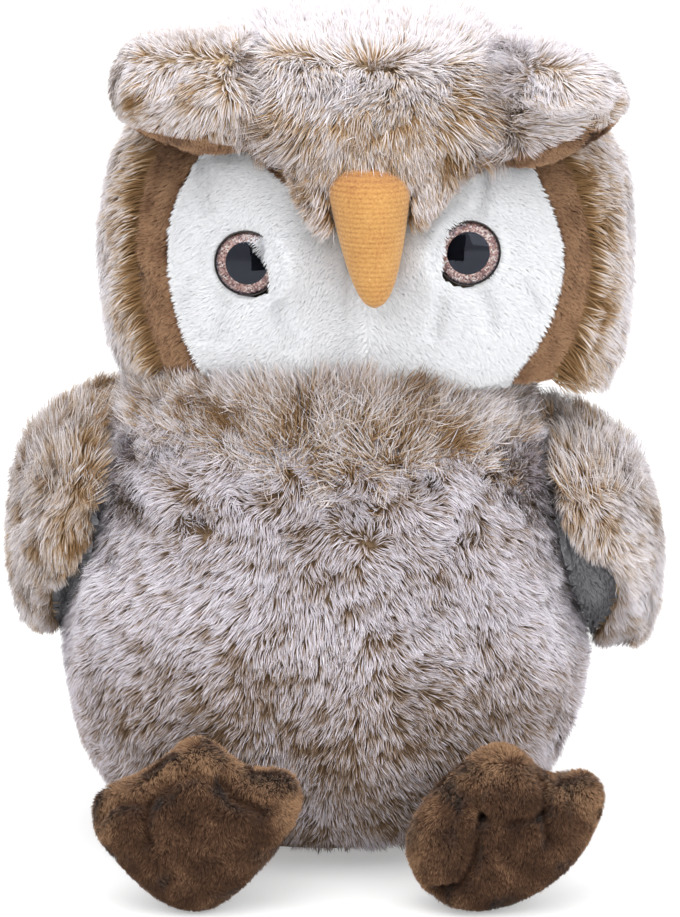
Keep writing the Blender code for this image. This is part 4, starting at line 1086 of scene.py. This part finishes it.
# Beak: a stuffed cone of orange rib knit, with its ribs across.
def beak():
    tree = tree_of(["beak_cover"])
    points, _ = solid_of(["beak_cover"])
    low, high = points[:, 2].min(), points[:, 2].max()
    tip = points[points[:, 2] < low + 0.002].mean(0)
    top = points[points[:, 2] > high - 0.003].mean(0)
    levels = np.linspace(low + 0.0003, high - 0.0003, 170)
    turns = np.linspace(0.0, 2.0 * math.pi, 112, endpoint=False)
    radius = np.zeros((len(levels), len(turns)))
    middle = tip + (levels[:, None] - tip[2]) / (top[2] - tip[2]) * (top - tip)
    middle[:, 2] = levels
    middle[:, 0] -= 0.0026 * (levels - low) / (high - low)
    for i, m in enumerate(middle):
        for j, a in enumerate(turns):
            out = Vector((math.cos(a), math.sin(a), 0.0))
            hit = tree.ray_cast(Vector(m) + out * 0.08, -out)[0]
            radius[i, j] = (hit - Vector(m)).dot(out) if hit is not None else 0.0
    for _ in range(10):
        radius = 0.5 * radius + 0.25 * (np.roll(radius, 1, 1) + np.roll(radius, -1, 1))
        radius[1:-1] = 0.5 * radius[1:-1] + 0.25 * (radius[:-2] + radius[2:])
    high = levels.max()
    radius *= np.sqrt(1.0 - 0.85 * np.clip((levels - high + 0.009) / 0.009, 0.0, 1.0) ** 2)[:, None]
    middle[:, 2] = levels
    rib = np.abs(np.sin(math.pi * (levels - low) / RIB_PITCH))[:, None] * np.ones(len(turns))
    radius = radius + 0.00010 * (rib - 0.6) * ease(0.0, 0.004, levels - low)[:, None]
    ring = np.stack([np.cos(turns), np.sin(turns), np.zeros(len(turns))], 1)
    points = middle[:, None] + radius[..., None] * ring
    count = len(turns)
    number = np.arange(len(levels) * count).reshape(len(levels), count)
    after = np.roll(number, -1, 1)
    faces = np.stack([number[:-1], after[:-1], after[1:], number[1:]], 2).reshape(-1, 4).tolist()
    faces += [number[0, ::-1].tolist(), number[-1].tolist()]
    piece = sewn("beak_knit", points.reshape(-1, 3).tolist(), faces)
    # The rib attribute holds painted shade between the ribs and a painted shadow of the brow's fur over the top of the
    # beak.
    layer = piece.data.attributes.new("rib", "FLOAT", "POINT")
    rib_and_brow_shadow = rib - 1.3 * ease(0.193, 0.204, levels)[:, None]
    layer.data.foreach_set("value", rib_and_brow_shadow.astype(np.float32).ravel())
    piece.data.shade_smooth()

    def knit(tree):
        """Wool-like orange yarn: matt and uneven from stitch to stitch, with painted shade between the ribs and a
        painted shadow of the brow's fur at the top of the beak.
        """
        rise = put(tree, "ShaderNodeAttribute", attribute_name="rib").outputs["Fac"]
        place = put(tree, "ShaderNodeTexCoord").outputs["Object"]
        stitch = put(tree, "ShaderNodeTexNoise", {"Vector": place, "Scale": KNIT_STITCHES, "Detail": 2.0}).outputs[0]
        cloud = put(tree, "ShaderNodeTexNoise", {"Vector": place, "Scale": KNIT_CLOUDS, "Detail": 2.0}).outputs[0]
        at = maths(tree, "MULTIPLY_ADD", stitch, 0.78, maths(tree, "MULTIPLY", rise, 0.20))
        at = maths(tree, "MULTIPLY_ADD", cloud, 0.3, at)
        bump = put(tree, "ShaderNodeBump", {"Height": stitch, "Strength": 0.6, "Distance": 0.0003})
        stops = [(0.20, "#8A562C"), (0.44, "#A8743E"), (0.66, "#BC8A4B"), (0.86, "#C89858"), (1.0, "#D2A870")]
        return {"Base Color": ramp(tree, at, stops), "Normal": bump.outputs[0]}

    finish(piece, surface("orange_rib_knit", knit, Roughness=0.9, **{"Sheen Weight": 0.2}), "head")
    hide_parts("beak_cover", "beak_stuffing")


beak()


# Feet: cushions of short plush, puffed up by a cloth simulation and pulled in along their creases.
def puffed(names, voxel, cap):
    """The solids swollen like one filled cushion: points and triangles."""
    grid, front = scan(names, 1, 1.0, 0.0011)
    _, back = scan(names, 1, -1.0, 0.0011)
    points, faces = between(grid, front, back, 1)
    pad = sewn("pad", points.tolist(), faces.tolist())
    scene = bpy.context.scene
    weave = pad.modifiers.new("weave", "REMESH")
    weave.mode, weave.voxel_size = "VOXEL", voxel
    graph = bpy.context.evaluated_depsgraph_get()
    pad.data = bpy.data.meshes.new_from_object(pad.evaluated_get(graph))
    pad.modifiers.clear()
    rest = np.array([v.co[:] for v in pad.data.vertices])
    cloth = pad.modifiers.new("cloth", "CLOTH")
    cloth.settings.use_pressure, cloth.settings.uniform_pressure_force = True, 4.0
    cloth.settings.effector_weights.gravity = 0.0
    for number in range(1, 21):
        scene.frame_set(number)
    graph = bpy.context.evaluated_depsgraph_get()
    made = bpy.data.meshes.new_from_object(pad.evaluated_get(graph))
    now = np.array([v.co[:] for v in made.vertices])
    move = now - rest
    far = np.linalg.norm(move, axis=1, keepdims=True)
    rest = rest + move * np.minimum(1.0, cap / np.maximum(far, 1e-9))
    scene.frame_set(1)
    for vertex, place in zip(pad.data.vertices, rest):
        vertex.co = place
    pad.modifiers.clear()
    weave = pad.modifiers.new("fine", "REMESH")
    weave.mode, weave.voxel_size = "VOXEL", 0.0010
    even = pad.modifiers.new("even", "SMOOTH")
    even.factor, even.iterations = 0.5, 14
    graph = bpy.context.evaluated_depsgraph_get()
    made = bpy.data.meshes.new_from_object(pad.evaluated_get(graph))
    made.calc_loop_triangles()
    rest = np.array([v.co[:] for v in made.vertices])
    triangles = np.array([t.vertices[:] for t in made.loop_triangles])
    bpy.data.objects.remove(pad)
    return largest(rest, triangles)


# Creases as points across and up, in shares of the foot's own width and height, with their depth.
CREASES = {
    "left": (
        (0.0026, ((0.36, 0.78), (0.30, 0.68), (0.27, 0.56), (0.29, 0.46))),
        (0.0026, ((0.63, 0.80), (0.67, 0.70), (0.75, 0.66), (0.80, 0.62))),
        (0.0014, ((0.05, 0.54), (0.09, 0.63), (0.18, 0.67), (0.27, 0.67))),
        (0.0012, ((0.37, 0.70), (0.42, 0.80), (0.52, 0.83), (0.60, 0.76))),
    ),
    "right": (
        (0.0028, ((0.38, 0.62), (0.36, 0.48), (0.34, 0.34), (0.28, 0.21), (0.19, 0.17))),
        (0.0020, ((0.38, 0.62), (0.49, 0.59), (0.60, 0.61), (0.68, 0.65))),
        (0.0028, ((0.66, 0.86), (0.69, 0.77), (0.69, 0.65), (0.71, 0.49))),
        (0.0022, ((0.36, 0.74), (0.38, 0.62))),
    ),
}


def crease_depth(x, z, side, low, high):
    """How far the creases draw the plush in at each point, with a soft shoulder beside them."""
    a, b = (x - low.x) / (high.x - low.x), (z - low.z) / (high.z - low.z)
    wide, tall = high.x - low.x, high.z - low.z
    total = np.zeros_like(x)
    for deep, line in CREASES[side]:
        nearest_line = np.full_like(x, 1.0)
        for (x0, z0), (x1, z1) in zip(line[:-1], line[1:]):
            dx, dz = (x1 - x0) * wide, (z1 - z0) * tall
            px, pz = (a - x0) * wide, (b - z0) * tall
            t = np.clip((px * dx + pz * dz) / (dx * dx + dz * dz), 0.0, 1.0)
            nearest_line = np.minimum(nearest_line, np.hypot(px - t * dx, pz - t * dz))
        shoulder = 0.35 * np.exp(-(((nearest_line - 0.0045) / 0.0026) ** 2))
        total += deep * (np.exp(-((nearest_line / 0.0014) ** 2)) - shoulder)
    return total


def comb_foot(p, n):
    return np.array([0.1, 0.0, -1.0])[None, :] + 0.6 * drift3(p, 0.012, 121)


for side in ("left", "right"):
    names = [f"foot_upper_{side}", f"foot_sole_{side}", f"foot_stuffing_{side}"]
    low, high = Vector(), Vector()
    boxes = [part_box(n) for n in names[:2]]
    for i in range(3):
        low[i], high[i] = min(b[0][i] for b in boxes), max(b[1][i] for b in boxes)
    points, faces = puffed(names, 0.0022, 0.0022)
    normals = smooth_normals(points, faces)
    front = ease(0.05, 0.45, -normals[:, 1])
    points = points - normals * (crease_depth(points[:, 0], points[:, 2], side, low, high) * front)[:, None]
    points[:, 2] = np.maximum(points[:, 2], 0.0008)
    points[:, 1] = np.maximum(points[:, 1], low.y + 0.0004)
    normals = smooth_normals(points, faces)
    piece = sewn(f"foot_backing_{side}", (points - normals * 0.0012).tolist(), faces.tolist())
    finish(piece, plush_backing, f"foot_{side}")
    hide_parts(*names)
    ahead = normals[faces].mean(1)[:, 1] < -0.1

    def foot_brown_and_shade(p, rng, side=side, low=low, high=high):
        """Painted shade and sheen: darker in the creases, where shade falls, and lighter and more golden along the rim,
        as painted sheen; the middle of the sole stays darker.
        """
        deep = crease_depth(p[:, 0], p[:, 2], side, low, high) / 0.0026
        edge = np.hypot((p[:, 0] - (low.x + high.x) / 2) / (high.x - low.x), (p[:, 2] - 0.02) / 0.05) * 2.0
        # Painted shade in the creases and painted sheen along the rim.
        return (0.14 + 0.22 * np.maximum(deep, 0.0) - 0.55 * ease(0.62, 1.0, edge) + 0.12 * drift(p, 0.009, 124)
                + 0.14 * rng.normal(size=len(p)))

    for label, keep, count in (("front", ahead, 39000), ("back", ~ahead, 26000)):
        coat(f"foot_pile_{label}_{side}", (points, faces[keep], normals), count, f"foot_{side}",
             foot_pile, comb_foot, 122 + count, 0.0026, 0.0013, 0.00026, foot_brown_and_shade, lift=(0.70, 0.30), stray=0.24,
             locks=((26, 0.4), (6, 0.4)))

# ---------------------------------------------------------------- floor, light and camera


def shown_plainly(tree):
    """One where the background is seen by the camera, or shown by gloss or through something clear."""
    rays = put(tree, "ShaderNodeLightPath").outputs
    direct = maths(tree, "MAXIMUM", rays["Is Camera Ray"], rays["Is Glossy Ray"])
    return maths(tree, "MAXIMUM", direct, rays["Is Transmission Ray"])


def studio():
    floor = sewn("floor", [(-3, -3, 0), (3, -3, 0), (3, 3, 0), (-3, 3, 0)], [(0, 1, 2, 3)])
    material = bpy.data.materials.new("pale_floor")
    material.use_nodes = True
    tree = material.node_tree
    tree.nodes.clear()
    seen = shown_plainly(tree)
    plain = put(tree, "ShaderNodeBsdfDiffuse", {"Color": (0.8, 0.8, 0.8, 1.0)})
    glow = put(tree, "ShaderNodeEmission", {"Color": (1, 1, 1, 1), "Strength": maths(tree, "MULTIPLY", seen, 0.35)})
    both = put(tree, "ShaderNodeAddShader", {0: plain.outputs[0], 1: glow.outputs[0]})
    put(tree, "ShaderNodeOutputMaterial", {"Surface": both.outputs[0]})
    floor.data.materials.append(material)
    world = bpy.context.scene.world or bpy.data.worlds.new("studio")
    bpy.context.scene.world = world
    world.use_nodes = True
    tree = world.node_tree
    tree.nodes.clear()
    seen = shown_plainly(tree)
    level = maths(tree, "MULTIPLY_ADD", seen, 0.2, 0.8)
    sky = put(tree, "ShaderNodeBackground", {"Color": (1, 1, 1, 1), "Strength": level})
    put(tree, "ShaderNodeOutputWorld", {"Surface": sky.outputs[0]})
    for name, place, size, power in (
        ("key", (-0.6, -1.2, 1.5), 1.6, 18.0),
        ("fill", (1.1, -1.0, 0.9), 1.6, 12.0),
        ("top", (0.0, -0.1, 1.6), 1.4, 9.0),
    ):
        light = bpy.data.lights.new(name, "AREA")
        light.size, light.energy = size, power
        lamp = placed(name, light)
        lamp.location = place
        lamp.rotation_euler = (Vector((0, 0, 0.12)) - Vector(place)).to_track_quat("-Z", "Y").to_euler()
    edge = [(-0.17, 0, 0.0), (0.17, 0, 0.0), (0.17, 0, 0.39), (-0.17, 0, 0.39)]
    board = sewn("dark_card", edge, [(0, 1, 2, 3)])
    board.data.materials.append(surface("black_card", speckled("#050505", "#080808", 20.0), Roughness=1.0))
    board.location = (0.012, -0.60, 0.0)
    board.visible_camera = board.visible_diffuse = board.visible_shadow = False
    data = bpy.data.cameras.new("camera")
    data.sensor_width, data.lens, data.dof.use_dof = 36.0, 175.25, False
    data.clip_start, data.clip_end = 0.05, 20.0
    camera = placed("camera", data)
    target = Vector((0.0037, -0.010, 0.112))
    tilt = math.radians(13.0)
    camera.location = target + 1.25 * Vector((0.0, -math.cos(tilt), math.sin(tilt)))
    camera.rotation_euler = (target - camera.location).to_track_quat("-Z", "Y").to_euler()
    bpy.context.scene.camera = camera
    bpy.context.scene.view_settings.view_transform = "Standard"


studio()
